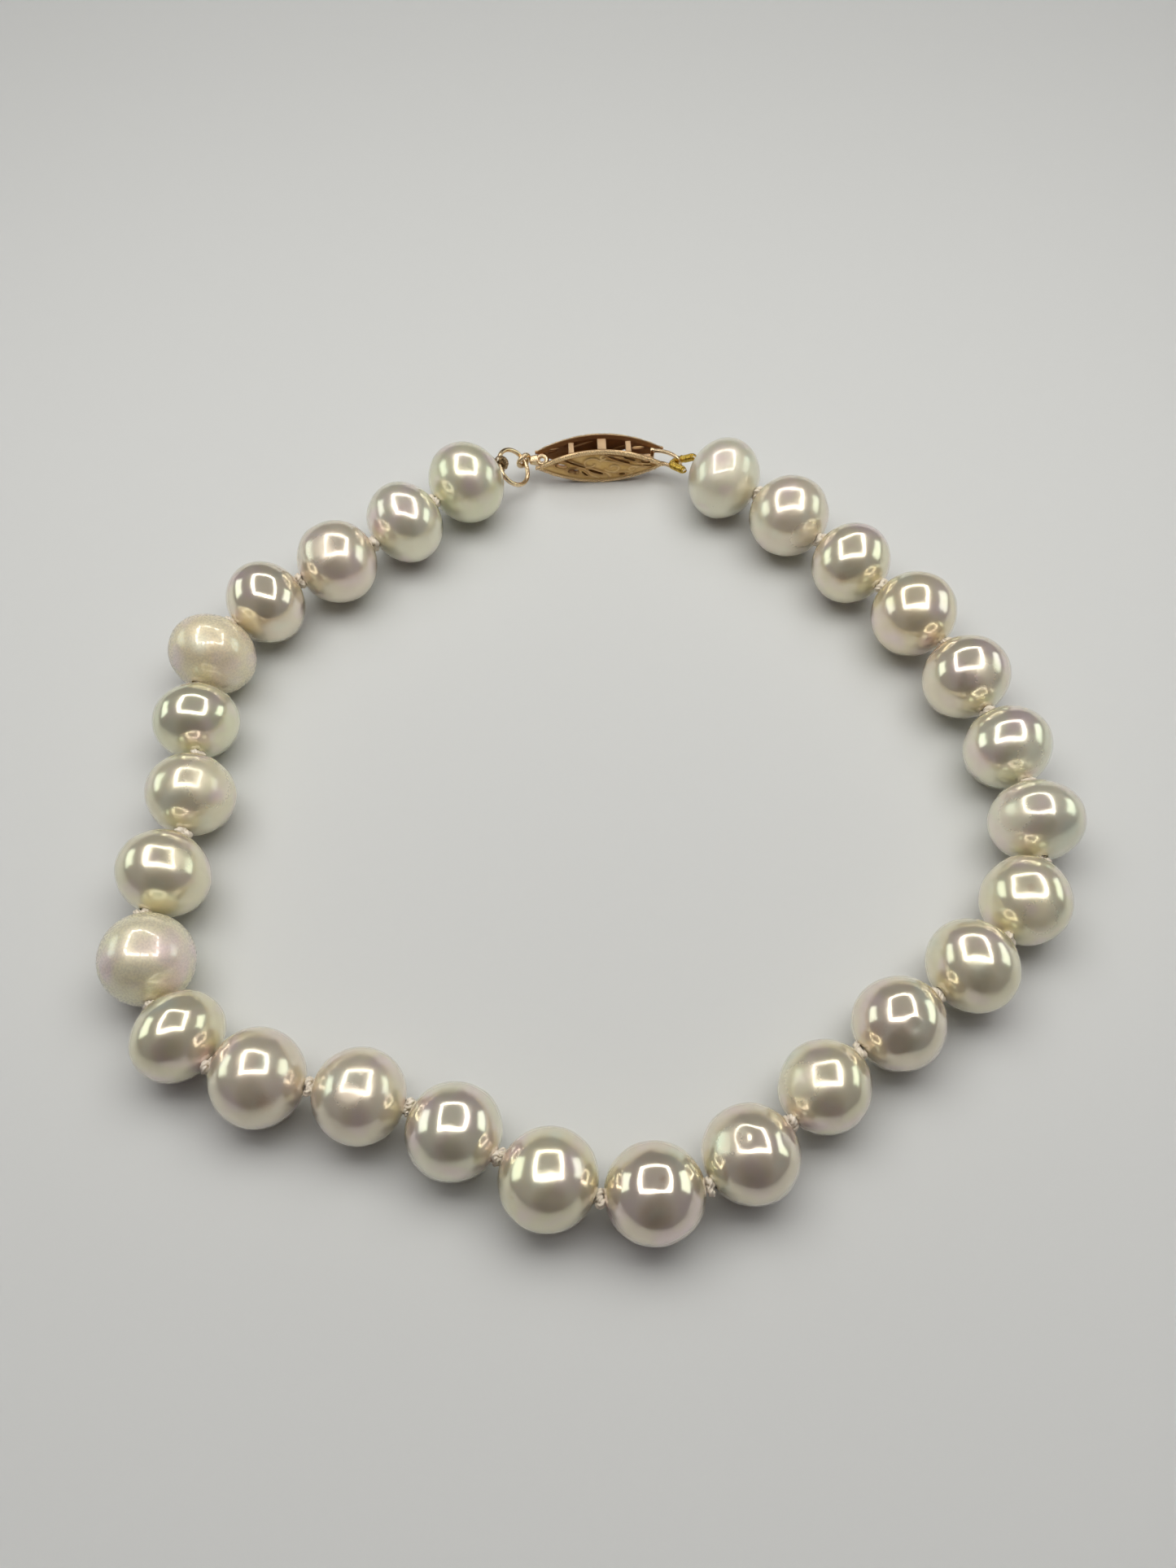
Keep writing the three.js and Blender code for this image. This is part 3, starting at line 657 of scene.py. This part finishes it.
def opening_outline(opening, wider=0.0, steps=36):
    """The rounded outline of an opening, made wider for what keeps clear of it."""
    x, z, length, width, turn = opening
    half, wide = length * half_length / 2 + wider, width * half_height / 2 + wider
    slant = math.radians(turn)
    outline = []
    for step in range(steps):
        angle = 2 * math.pi * step / steps
        along = half * math.copysign(abs(math.cos(angle)) ** 0.7, math.cos(angle))
        across = wide * math.copysign(abs(math.sin(angle)) ** 0.8, math.sin(angle))
        outline.append(Vector((
            x * half_length + along * math.cos(slant) - across * math.sin(slant),
            z * half_height + along * math.sin(slant) + across * math.cos(slant),
        )))
    return outline


def is_inside(point, outline, opening, far_enough=0.0003):
    """Whether a place lies in an opening. One that is far to its side is out at once."""
    if abs(point.x - opening[0] * half_length) > opening[2] * half_length / 2 + far_enough:
        return False
    inside = False
    for here, there in zip(outline, outline[1:] + outline[:1]):
        if (here.y > point.y) != (there.y > point.y):
            if point.x < here.x + (point.y - here.y) * (there.x - here.x) / (there.y - here.y):
                inside = not inside
    return inside


def marker_tree(lines, spacing=0.00002):
    """Finds how far a place on the plate is from the nearest of some lines."""
    spots = []
    for line in lines:
        for here, there in zip(line, line[1:]):
            count = max(int((there - here).length / spacing), 1)
            spots.extend(here.lerp(there, step / count) for step in range(count))
    finder = KDTree(len(spots))
    for index, spot in enumerate(spots):
        finder.insert((spot.x, spot.y, 0.0), index)
    finder.balance()
    return finder


def nearness(finder, point, reach):
    """1 on the line, falling to 0 well past the reach."""
    return math.exp(-(finder.find((point.x, point.y, 0.0))[2] / reach) ** 2)


plate_columns = 120
edge_xs = [
    half_length * math.sin(math.pi * (step / plate_columns - 0.5)) for step in range(plate_columns + 1)
]
lower_edge = [Vector((x, -plate_half(x))) for x in edge_xs]
upper_edge = [Vector((x, plate_half(x))) for x in reversed(edge_xs)]
holes = [opening_outline(opening) for opening in openings]
scroll_lines = [smooth_path([Vector((x * half_length, z * half_height)) for x, z in rib], 6) for rib in ribs]
curl_steps = 24
curl_flatness = 0.8
for x, z, reach, start, sweep in scroll_curls:
    curl = []
    for step in range(curl_steps + 1):
        angle = math.radians(start + sweep * step / curl_steps)
        out = reach * half_length * (1 - 0.65 * step / curl_steps)
        across = out * math.sin(angle) * curl_flatness
        curl.append(Vector((x * half_length + out * math.cos(angle), z * half_height + across)))
    scroll_lines.append(curl)
hole_finder = marker_tree([hole + hole[:1] for hole in holes])
scroll_finder = marker_tree(scroll_lines)


def plate_points(spacing=0.00006, edge_room=0.00003, lip_room=0.00005):
    """The plate seen flat: its corners and triangles, with the openings left out."""
    lips = [opening_outline(opening, lip_room) for opening in openings]
    points, ties = [], []
    for loop in [lower_edge + upper_edge] + holes:
        first = len(points)
        points.extend(loop)
        ties.extend((first + step, first + (step + 1) % len(loop)) for step in range(len(loop)))
    for column in range(int(clasp_length / spacing)):
        for row in range(int(clasp_height / spacing)):
            shift = 0.5 * (column % 2)
            point = Vector((
                -half_length + (column + 0.5) * spacing, -half_height + (row + shift + 0.25) * spacing))
            if plate_half(point.x) - abs(point.y) > edge_room:
                if not any(is_inside(point, lip, opening) for lip, opening in zip(lips, openings)):
                    points.append(point)
    flat, _, triangles, *_ = delaunay_2d_cdt(points, ties, [], 1, 1e-7)
    kept = []
    for triangle in triangles:
        middle = sum((flat[index] for index in triangle), Vector((0.0, 0.0))) / 3
        if not any(is_inside(middle, hole, opening) for hole, opening in zip(holes, openings)):
            kept.append(triangle)
    return flat, kept


flat_plate, plate_faces = plate_points()


def set_mark(mesh, mark, values):
    """Gives each corner of a mesh a number that its metal reads."""
    mesh.attributes.new(mark, "FLOAT", "POINT").data.foreach_set("value", values)


def plate_mesh(name, facing):
    """A plate with its relief: raised rim, lips round the openings and scroll, and a hollowed back."""
    count = len(flat_plate)
    front, back = [], []
    marks = {"patina_and_shade": [], "face": [], "milling": [], "rim": []}
    for point in flat_plate:
        margin = plate_half(point.x) - abs(point.y)
        rim = min(max((rim_width - margin) / rim_slope, 0.0), 1.0)
        rounding = corner_rounding * max(1 - margin / corner_reach, 0.0) ** 2
        lip = nearness(hole_finder, point, lip_reach)
        scroll = nearness(scroll_finder, point, scroll_reach)
        field = 1 - rim
        height = rim_rise * rim - rounding + field * (lip_rise * lip + scroll_rise * scroll)
        foot = nearness(hole_finder, point, lip_foot) - lip
        foot = foot + 0.7 * (nearness(scroll_finder, point, scroll_foot) - scroll)
        groove = math.exp(-((margin - rim_width - rim_groove) / rim_slope) ** 2)
        swell = dome(point.x, point.y)
        front.append((point.x, -(plate_gap / 2 + plate_thickness + swell + height), point.y))
        hollow = hollow_depth * max(1 - margin / hollow_reach, 0.0)
        back.append((point.x, -(plate_gap / 2 + swell + hollow), point.y))
        # Patina at the feet of the lips and scroll and in the groove inside the rim.
        marks["patina_and_shade"].append(min(field * max(foot, 0.0) * 0.5 + groove * 0.35, 0.7))
        marks["face"].append(1 - 0.55 * min(rim + field * scroll * 0.5, 1.0))
        marks["milling"].append(2 * math.pi * (point.x / milling_pitch + abs(point.y) / (2 * milling_pitch)))
        marks["rim"].append(1.0 if milling_inset < margin < rim_width - rim_groove else 0.0)
    # The inner faces between the plates are painted dark as shade.
    for mark, inside in (("patina_and_shade", 0.85), ("face", 0.3), ("milling", 0.0), ("rim", 0.0)):
        marks[mark] += [inside] * count
    faces = list(plate_faces)
    faces += [tuple(index + count for index in reversed(triangle)) for triangle in plate_faces]
    sides = {
        (triangle[corner - 1], triangle[corner]) for triangle in plate_faces for corner in range(3)
    }
    faces += [
        (there, here, here + count, there + count) for here, there in sides if (there, here) not in sides
    ]
    mesh = new_mesh(name, front + back, [], faces)
    for mark, values in marks.items():
        set_mark(mesh, mark, values)
    mesh.transform(clasp_frame @ Matrix.Rotation(math.radians(facing), 4, "Z"))
    return smoothed(mesh)


def bent_wire(name, points, diameter, closed, material):
    """A round wire along points, with flat ends where it doesn't close on itself."""
    path = bpy.data.curves.new(name, "CURVE")
    path.dimensions = "3D"
    path.bevel_depth = diameter / 2
    path.bevel_resolution = 6
    path.resolution_u = 10
    path.use_fill_caps = True
    spline = path.splines.new("BEZIER")
    spline.bezier_points.add(len(points) - 1)
    for knot, place in zip(spline.bezier_points, points):
        knot.co = place
        knot.handle_left_type = knot.handle_right_type = "AUTO"
    spline.use_cyclic_u = closed
    form = bpy.data.objects.new(name, path)
    bpy.context.scene.collection.objects.link(form)
    graph = bpy.context.evaluated_depsgraph_get()
    mesh = bpy.data.meshes.new_from_object(form.evaluated_get(graph), depsgraph=graph)
    bpy.data.objects.remove(form)
    mesh.name = name
    return add_object(name, smoothed(mesh, 60), material)


def filed_block(name, size, middle, taper=1.0, patina_and_shade=0.0):
    """A block of cast metal with filed edges, narrower at its left end by the taper."""
    form = bmesh.new()
    bmesh.ops.create_cube(form, size=1.0)
    for corner in form.verts:
        narrowing = taper if corner.co.x < 0 else 1.0
        corner.co *= Vector((size[0], size[1] * narrowing, size[2] * narrowing))
    bmesh.ops.bevel(form, geom=form.edges[:], offset=min(size) * 0.2, segments=3, profile=0.6, affect="EDGES")
    bmesh.ops.translate(form, verts=form.verts, vec=middle)
    mesh = bpy.data.meshes.new(name)
    form.to_mesh(mesh)
    form.free()
    # Darkened by the given amount: painted shade for the posts between the plates.
    set_mark(mesh, "patina_and_shade", [patina_and_shade] * len(mesh.vertices))
    mesh.transform(clasp_frame)
    return add_object(name, smoothed(mesh), gold_material)


clasp_pieces = [
    add_object("front_plate", plate_mesh("front_plate", 0), gold_material),
    add_object("back_plate", plate_mesh("back_plate", 180), gold_material),
]

# Milgrain is a row of tiny beads of the same gold, rolled along the outer corner of each rim. The beads
# touch, and each is a little larger or smaller than the next.
milgrain_bead_radius = 0.000095
milgrain_spacing = 0.00019
milgrain_inset = 0.00007
milgrain_length = 0.985
milgrain_tree, milgrain_given = new_geometry_tree("milgrain_row", ["Bead radius", "Spacing"])
milgrain_row = add_node(milgrain_tree, "GeometryNodeMeshToCurve", None, {"Mesh": milgrain_given["Geometry"]})
milgrain_row = add_node(milgrain_tree, "GeometryNodeCurveToPoints", {"mode": "LENGTH"}, {
    "Curve": milgrain_row, "Length": milgrain_given["Spacing"],
})
milgrain_bead = add_node(milgrain_tree, "GeometryNodeMeshIcoSphere", None, {
    "Radius": milgrain_given["Bead radius"], "Subdivisions": 2,
})
milgrain_size = add_node(milgrain_tree, "FunctionNodeRandomValue", {"data_type": "FLOAT"}, {
    "Min": 0.75, "Max": 1.15, "Seed": 4,
}, output="Value")
milgrain_beads = add_node(milgrain_tree, "GeometryNodeInstanceOnPoints", None, {
    "Points": milgrain_row, "Instance": milgrain_bead, "Scale": milgrain_size,
})
close_tree(milgrain_tree, milgrain_beads, gold_material)
for side_name, facing in (("front", 0), ("back", 180)):
    turned = clasp_frame @ Matrix.Rotation(math.radians(facing), 4, "Z")
    row = []
    for point in lower_edge + upper_edge:
        x, z = point.x * milgrain_length, point.y * (1 - milgrain_inset / plate_half(point.x))
        row.append(turned @ Vector((x, -(plate_gap / 2 + plate_thickness + dome(x, z) + rim_rise * 0.8), z)))
    name = f"{side_name}_milgrain"
    clasp_pieces.append(grown(name, add_edges(name, [(row, True)]), milgrain_tree, {
        "Bead radius": milgrain_bead_radius, "Spacing": milgrain_spacing,
    }, gold_material))

# Three short posts at the top and three at the foot hold the plates apart. Each is a block of the same
# gold, soldered between the plates' rims.
post_depth = 0.00036
post_bite = 0.0001
post_span = plate_gap + 2 * post_bite
for number, (place, length) in enumerate([(-0.44, 0.09), (0.03, 0.14), (0.44, 0.09)], start=1):
    for level, level_name in ((-1, "foot"), (1, "top")):
        x = place * half_length
        z = level * (plate_half(x) - rim_width / 2 - post_depth / 2)
        size = (length * half_length, post_span, post_depth)
        # The posts stand between the plates, so their metal is painted darker as shade.
        clasp_pieces.append(filed_block(f"post_{number}_{level_name}", size, (x, 0, z), patina_and_shade=0.45))

# The nose closes the left tips, with a small hole through a collar, and carries the eyelet, a ring of
# round wire that is soldered on at a slant.
nose_size = (0.0007, 0.0008, 0.00062)
nose_place = (-half_length - 0.0001, 0, 0)
nose_hole = Vector((-half_length + 0.00055, 0.0, 0.0))
collar_radius = 0.00036
collar_wire = 0.00038
eyelet_radius = 0.0005
eyelet_wire = 0.0004
eyelet_middle = Vector((-half_length - 0.00093, 0.0, 0.0))
eyelet_turn = math.radians(40)
eyelet_across = Vector((math.cos(eyelet_turn), math.sin(eyelet_turn), 0.0))
collar_path, eyelet_path = [], []
for step in range(12):
    angle = 2 * math.pi * step / 12
    collar_way = Vector((math.cos(angle), 1.15 * math.sin(angle), 0.0))
    collar_path.append(clasp_frame @ (nose_hole + collar_radius * collar_way))
    eyelet_way = eyelet_across * math.cos(angle) + Vector((0.0, 0.0, math.sin(angle)))
    eyelet_path.append(clasp_frame @ (eyelet_middle + eyelet_radius * eyelet_way))
clasp_pieces.append(filed_block("clasp_nose", nose_size, nose_place, taper=0.75))
clasp_pieces.append(bent_wire("nose_ring", collar_path, collar_wire, True, gold_material))
clasp_pieces.append(bent_wire("clasp_eyelet", eyelet_path, eyelet_wire, True, gold_material))

# The catch bar is a round wire that is soldered from plate to plate. The hook's tongue goes round it with
# a small clearance, so its place follows from the tongue's bend.
catch_bar = 0.0004
tongue_width = 0.0005
tongue_thickness = 0.00028
tongue_clearance = 0.00018
catch_bend = catch_bar / 2 + tongue_clearance + tongue_thickness / 2
catch_middle = Vector((-0.0011, 0.0, -catch_bend))
bar_reach = plate_gap / 2 + dome(catch_middle.x, catch_middle.z)
bar_ends = [clasp_frame @ (catch_middle + Vector((0.0, bar_reach * share, 0.0))) for share in (-1, 0, 1)]
clasp_pieces.append(bent_wire("catch_bar", bar_ends, catch_bar, False, gold_material))
for piece in clasp_pieces:
    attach(piece, "root")
    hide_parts("clasp_body")

# The hook is bent from gold wire and strip: a loop that leans out of the clasp's right end, a shoulder, and
# the flat springy tongue inside, bent back round the catch bar.
hook_wire = 0.00032
hook_height = 0.0017
hook_forward = 0.001
hook_end = half_length + 0.00125
hook_radius = (hook_height - hook_wire) / 2
shoulder = half_length - 0.00095
tongue_return = 0.0012


def hook_lean(x):
    """How far the loop leans out of the clasp's middle plane at one place along it."""
    return -hook_forward * ((x - shoulder) / (hook_end - shoulder)) ** 2


tip_lean = hook_lean(half_length)
hook_path = [Vector((shoulder, 0.0, -hook_radius)), Vector((half_length, tip_lean, -hook_radius))]
for step in range(7):
    angle = math.radians(-90 + 30 * step)
    x = hook_end - hook_radius + hook_radius * math.cos(angle)
    hook_path.append(Vector((x, hook_lean(x), hook_radius * math.sin(angle))))
hook_path += [Vector((half_length, tip_lean, hook_radius)), Vector((shoulder, 0.0, hook_radius))]
hook_pieces = [
    bent_wire("hook_loop", [clasp_frame @ point for point in hook_path], hook_wire, False, gold_material),
    filed_block("hook_shoulder", (hook_wire, hook_wire, 2 * hook_radius + hook_wire), (shoulder, 0, 0)),
]
tongue_points = [Vector((shoulder, 0.0, 0.0)), Vector((shoulder / 2, 0.0, 0.0))]
for step in range(7):
    angle = math.radians(90 + 30 * step)
    tongue_points.append(catch_middle + catch_bend * Vector((math.cos(angle), 0.0, math.sin(angle))))
tongue_points.append(catch_middle + Vector((tongue_return, 0.0, -catch_bend)))
tongue_path = smooth_path(tongue_points, 5)


def flat_strip(name, path, width, thickness, sides=16):
    """A flat strip with rounded edges, bent along a path in the clasp's middle plane."""
    section = []
    for step in range(sides):
        angle = 2 * math.pi * (step + 0.5) / sides
        section.append((
            math.copysign(abs(math.cos(angle)) ** 0.4, math.cos(angle)) * width / 2,
            math.copysign(abs(math.sin(angle)) ** 0.6, math.sin(angle)) * thickness / 2,
        ))
    corners = []
    for index, place in enumerate(path):
        run = path[min(index + 1, len(path) - 1)] - path[max(index - 1, 0)]
        face = Vector((-run.z, 0.0, run.x)).normalized()
        corners.extend(place + Vector((0.0, across, 0.0)) + face * up for across, up in section)
    faces = [tuple(range(sides)), tuple(reversed(range(len(corners) - sides, len(corners))))]
    for ring in range(len(path) - 1):
        for step in range(sides):
            beside = (step + 1) % sides
            faces.append((ring * sides + beside, ring * sides + step,
                          (ring + 1) * sides + step, (ring + 1) * sides + beside))
    mesh = new_mesh(name, [clasp_frame @ corner for corner in corners], [], faces)
    form = bmesh.new()
    form.from_mesh(mesh)
    bmesh.ops.recalc_face_normals(form, faces=form.faces)
    form.to_mesh(mesh)
    form.free()
    # The tongue lies between the plates, so its metal is painted darker as shade.
    set_mark(mesh, "patina_and_shade", [0.4] * len(corners))
    return add_object(name, smoothed(mesh), gold_material)


hook_pieces.append(flat_strip("hook_tongue", tongue_path, tongue_width, tongue_thickness))
for piece in hook_pieces:
    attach(piece, "root")
    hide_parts("clasp_hook")

# The jump ring is a soldered ring of round gold wire, through the clasp's eyelet and the left gimp. The
# string draws it tight between the two, so it leans over to one side.
ring_wire = 0.00036
ring_diameter = 0.0033
ring_radius = (ring_diameter - ring_wire) / 2
ring_slack = math.radians(18)
ring_heading = math.radians(-140)
ring_lean = math.radians(-32)
first_pearl, last_pearl = strung[0], strung[-1]
eyelet_hole = clasp_frame @ eyelet_middle
chord = 2 * ring_radius * math.cos(ring_slack)
level_chord = math.sqrt(chord ** 2 - (first_pearl["radius"] - eyelet_hole.z) ** 2)
string_start = eyelet_hole + level_chord * Vector((math.cos(ring_heading), math.sin(ring_heading), 0.0))
string_start.z = first_pearl["radius"]
ring_axis = (string_start - eyelet_hole).normalized()
ring_side = Vector((0.0, 0.0, 1.0)).cross(ring_axis).normalized()
ring_side = Matrix.Rotation(ring_lean, 3, ring_axis) @ ring_side
ring_middle = (string_start + eyelet_hole) / 2 + ring_side * (ring_radius * math.sin(ring_slack))
ring_path = [
    ring_middle + ring_radius * (ring_axis * math.cos(a) + ring_side * math.sin(a))
    for a in (2 * math.pi * step / 24 for step in range(24))
]
jump_ring = bent_wire("round_jump_ring", ring_path, ring_wire, True, gold_material)
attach(jump_ring, "root")
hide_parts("jump_ring")

# Gimp is a hollow coil of fine brass-coloured wire that is threaded on the silk's end loops to guard them
# from wear. The left one has tarnished, and the right one is still bright.
gimp_radius = 0.00032
gimp_clearance = 0.00012
coil_wire = 0.00021
coil_pitch = 0.00022
coil_steps = 12
coil_end_taper = 14.0


def gimp_finish(name, hollow, crest):
    """The coil's metal, from its dark hollows to its worn crests."""
    material, tree = new_material(name)
    place = add_node(tree, "ShaderNodeTexCoord", output="Object")
    wear = mottling(tree, place, 2500.0, 3.0)
    colour = mixed(tree, ((wear - 0.3) * 2.0).clipped(), (*hollow, 1.0), (*crest, 1.0))
    bump = add_node(tree, "ShaderNodeBump", None, {"Strength": 0.4, "Distance": 0.00002, "Height": wear})
    finished(
        tree, "ShaderNodeBsdfPrincipled", Base_Color=colour, Metallic=1.0, Roughness=0.16 + wear * 0.2,
        Normal=bump,
    )
    return material


gimp_tree, gimp_given = new_geometry_tree("wire_coil", ["Coil radius", "Wire radius", "Pitch"], ["Finish"])
gimp_curve = add_node(gimp_tree, "GeometryNodeMeshToCurve", None, {"Mesh": gimp_given["Geometry"]})
gimp_curve = add_node(gimp_tree, "GeometryNodeResampleCurve", {"mode": "LENGTH"}, {
    "Curve": gimp_curve, "Length": gimp_given["Pitch"] / coil_steps,
})
coil_turn = add_node(gimp_tree, "GeometryNodeInputIndex") * (2 * math.pi / coil_steps)
coil_share = add_node(gimp_tree, "GeometryNodeSplineParameter", output="Factor")
coil_ends = (coil_share * coil_end_taper).clipped() * ((1.0 - coil_share) * coil_end_taper).clipped()
coil_reach = gimp_given["Coil radius"] * (coil_ends * 0.65 + 0.35)
coil_normal = add_node(gimp_tree, "GeometryNodeInputNormal")
coil_tangent = add_node(gimp_tree, "GeometryNodeInputTangent")
coil_cross = vector_math(gimp_tree, "CROSS_PRODUCT", {0: coil_tangent, 1: coil_normal})
coil_out, coil_up = (
    vector_math(gimp_tree, "SCALE", {0: way, "Scale": coil_turn.math(wave) * coil_reach})
    for way, wave in ((coil_normal, "COSINE"), (coil_cross, "SINE"))
)
coil_offset = vector_math(gimp_tree, "ADD", {0: coil_out, 1: coil_up})
coil_curve = add_node(gimp_tree, "GeometryNodeSetPosition", None, {
    "Geometry": gimp_curve, "Offset": coil_offset,
})
coil_profile = add_node(gimp_tree, "GeometryNodeCurvePrimitiveCircle", None, {
    "Resolution": 8, "Radius": gimp_given["Wire radius"],
})
coil_mesh = add_node(gimp_tree, "GeometryNodeCurveToMesh", None, {
    "Curve": coil_curve, "Profile Curve": coil_profile, "Fill Caps": True,
})
close_tree(gimp_tree, coil_mesh, gimp_given["Finish"])


def gimp_path(mouth, outward, seat, spread, held_wire, splay):
    """From the drill mouth round the wire that the gimp hangs on, and back."""
    axis = (seat - mouth).normalized()
    bow = held_wire / 2 + gimp_clearance + gimp_radius
    lift = gimp_clearance + axis.cross(outward).length * gimp_radius
    face_spread = (spread - outward * spread.dot(outward)).normalized()
    footing = mouth + outward * lift
    path = [footing - face_spread * (bow + splay)]
    for step in range(7):
        angle = math.radians(-90 + 30 * step)
        path.append(seat + axis * bow * math.cos(angle) + spread * bow * math.sin(angle))
    return smooth_path(path + [footing + face_spread * (bow + splay)], 6)


hook_seat_rise = 0.0003
hook_seat_reach = hook_end - hook_radius + math.sqrt(hook_radius ** 2 - hook_seat_rise ** 2)
hook_seat = clasp_frame @ Vector((hook_seat_reach, -hook_forward, hook_seat_rise))
last_mouth = last_pearl["middle"] + last_pearl["along"] * last_pearl["half"]
first_mouth = first_pearl["middle"] - first_pearl["along"] * first_pearl["half"]
hook_spread = (hook_seat - last_mouth).cross(Vector((0, 0, 1))).normalized()
ring_seat = string_start - Vector((0.0, 0.0, 0.00015))
right_splay = 0.00025
gimps = {
    "gimp_left": (
        gimp_path(first_mouth, -first_pearl["along"], ring_seat, Vector((0, 0, 1)), ring_wire * 0.7, 0.0),
        gimp_finish("tarnished_gimp", (0.16, 0.10, 0.05), (0.46, 0.34, 0.20)),
    ),
    "gimp_right": (
        gimp_path(last_mouth, last_pearl["along"], hook_seat, hook_spread, hook_wire, right_splay),
        gimp_finish("bright_gimp", (0.50, 0.30, 0.03), (0.86, 0.66, 0.16)),
    ),
}
for node, (path, finish) in gimps.items():
    name = f"coiled_{node}"
    piece = grown(name, add_edges(name, [(path, False)]), gimp_tree, {
        "Coil radius": gimp_radius - coil_wire / 2, "Wire radius": coil_wire / 2, "Pitch": coil_pitch,
        "Finish": finish,
    }, finish)
    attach(piece, "root")
    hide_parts(node)
    core = grown(f"silk_in_{node}", add_edges(f"silk_in_{node}", [(path, False)]), silk_tree,
                 {"Radius": silk_radius * 0.7, "Turns per metre": silk_twist}, silk_material)
    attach(core, "root")
    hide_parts("silk_thread")
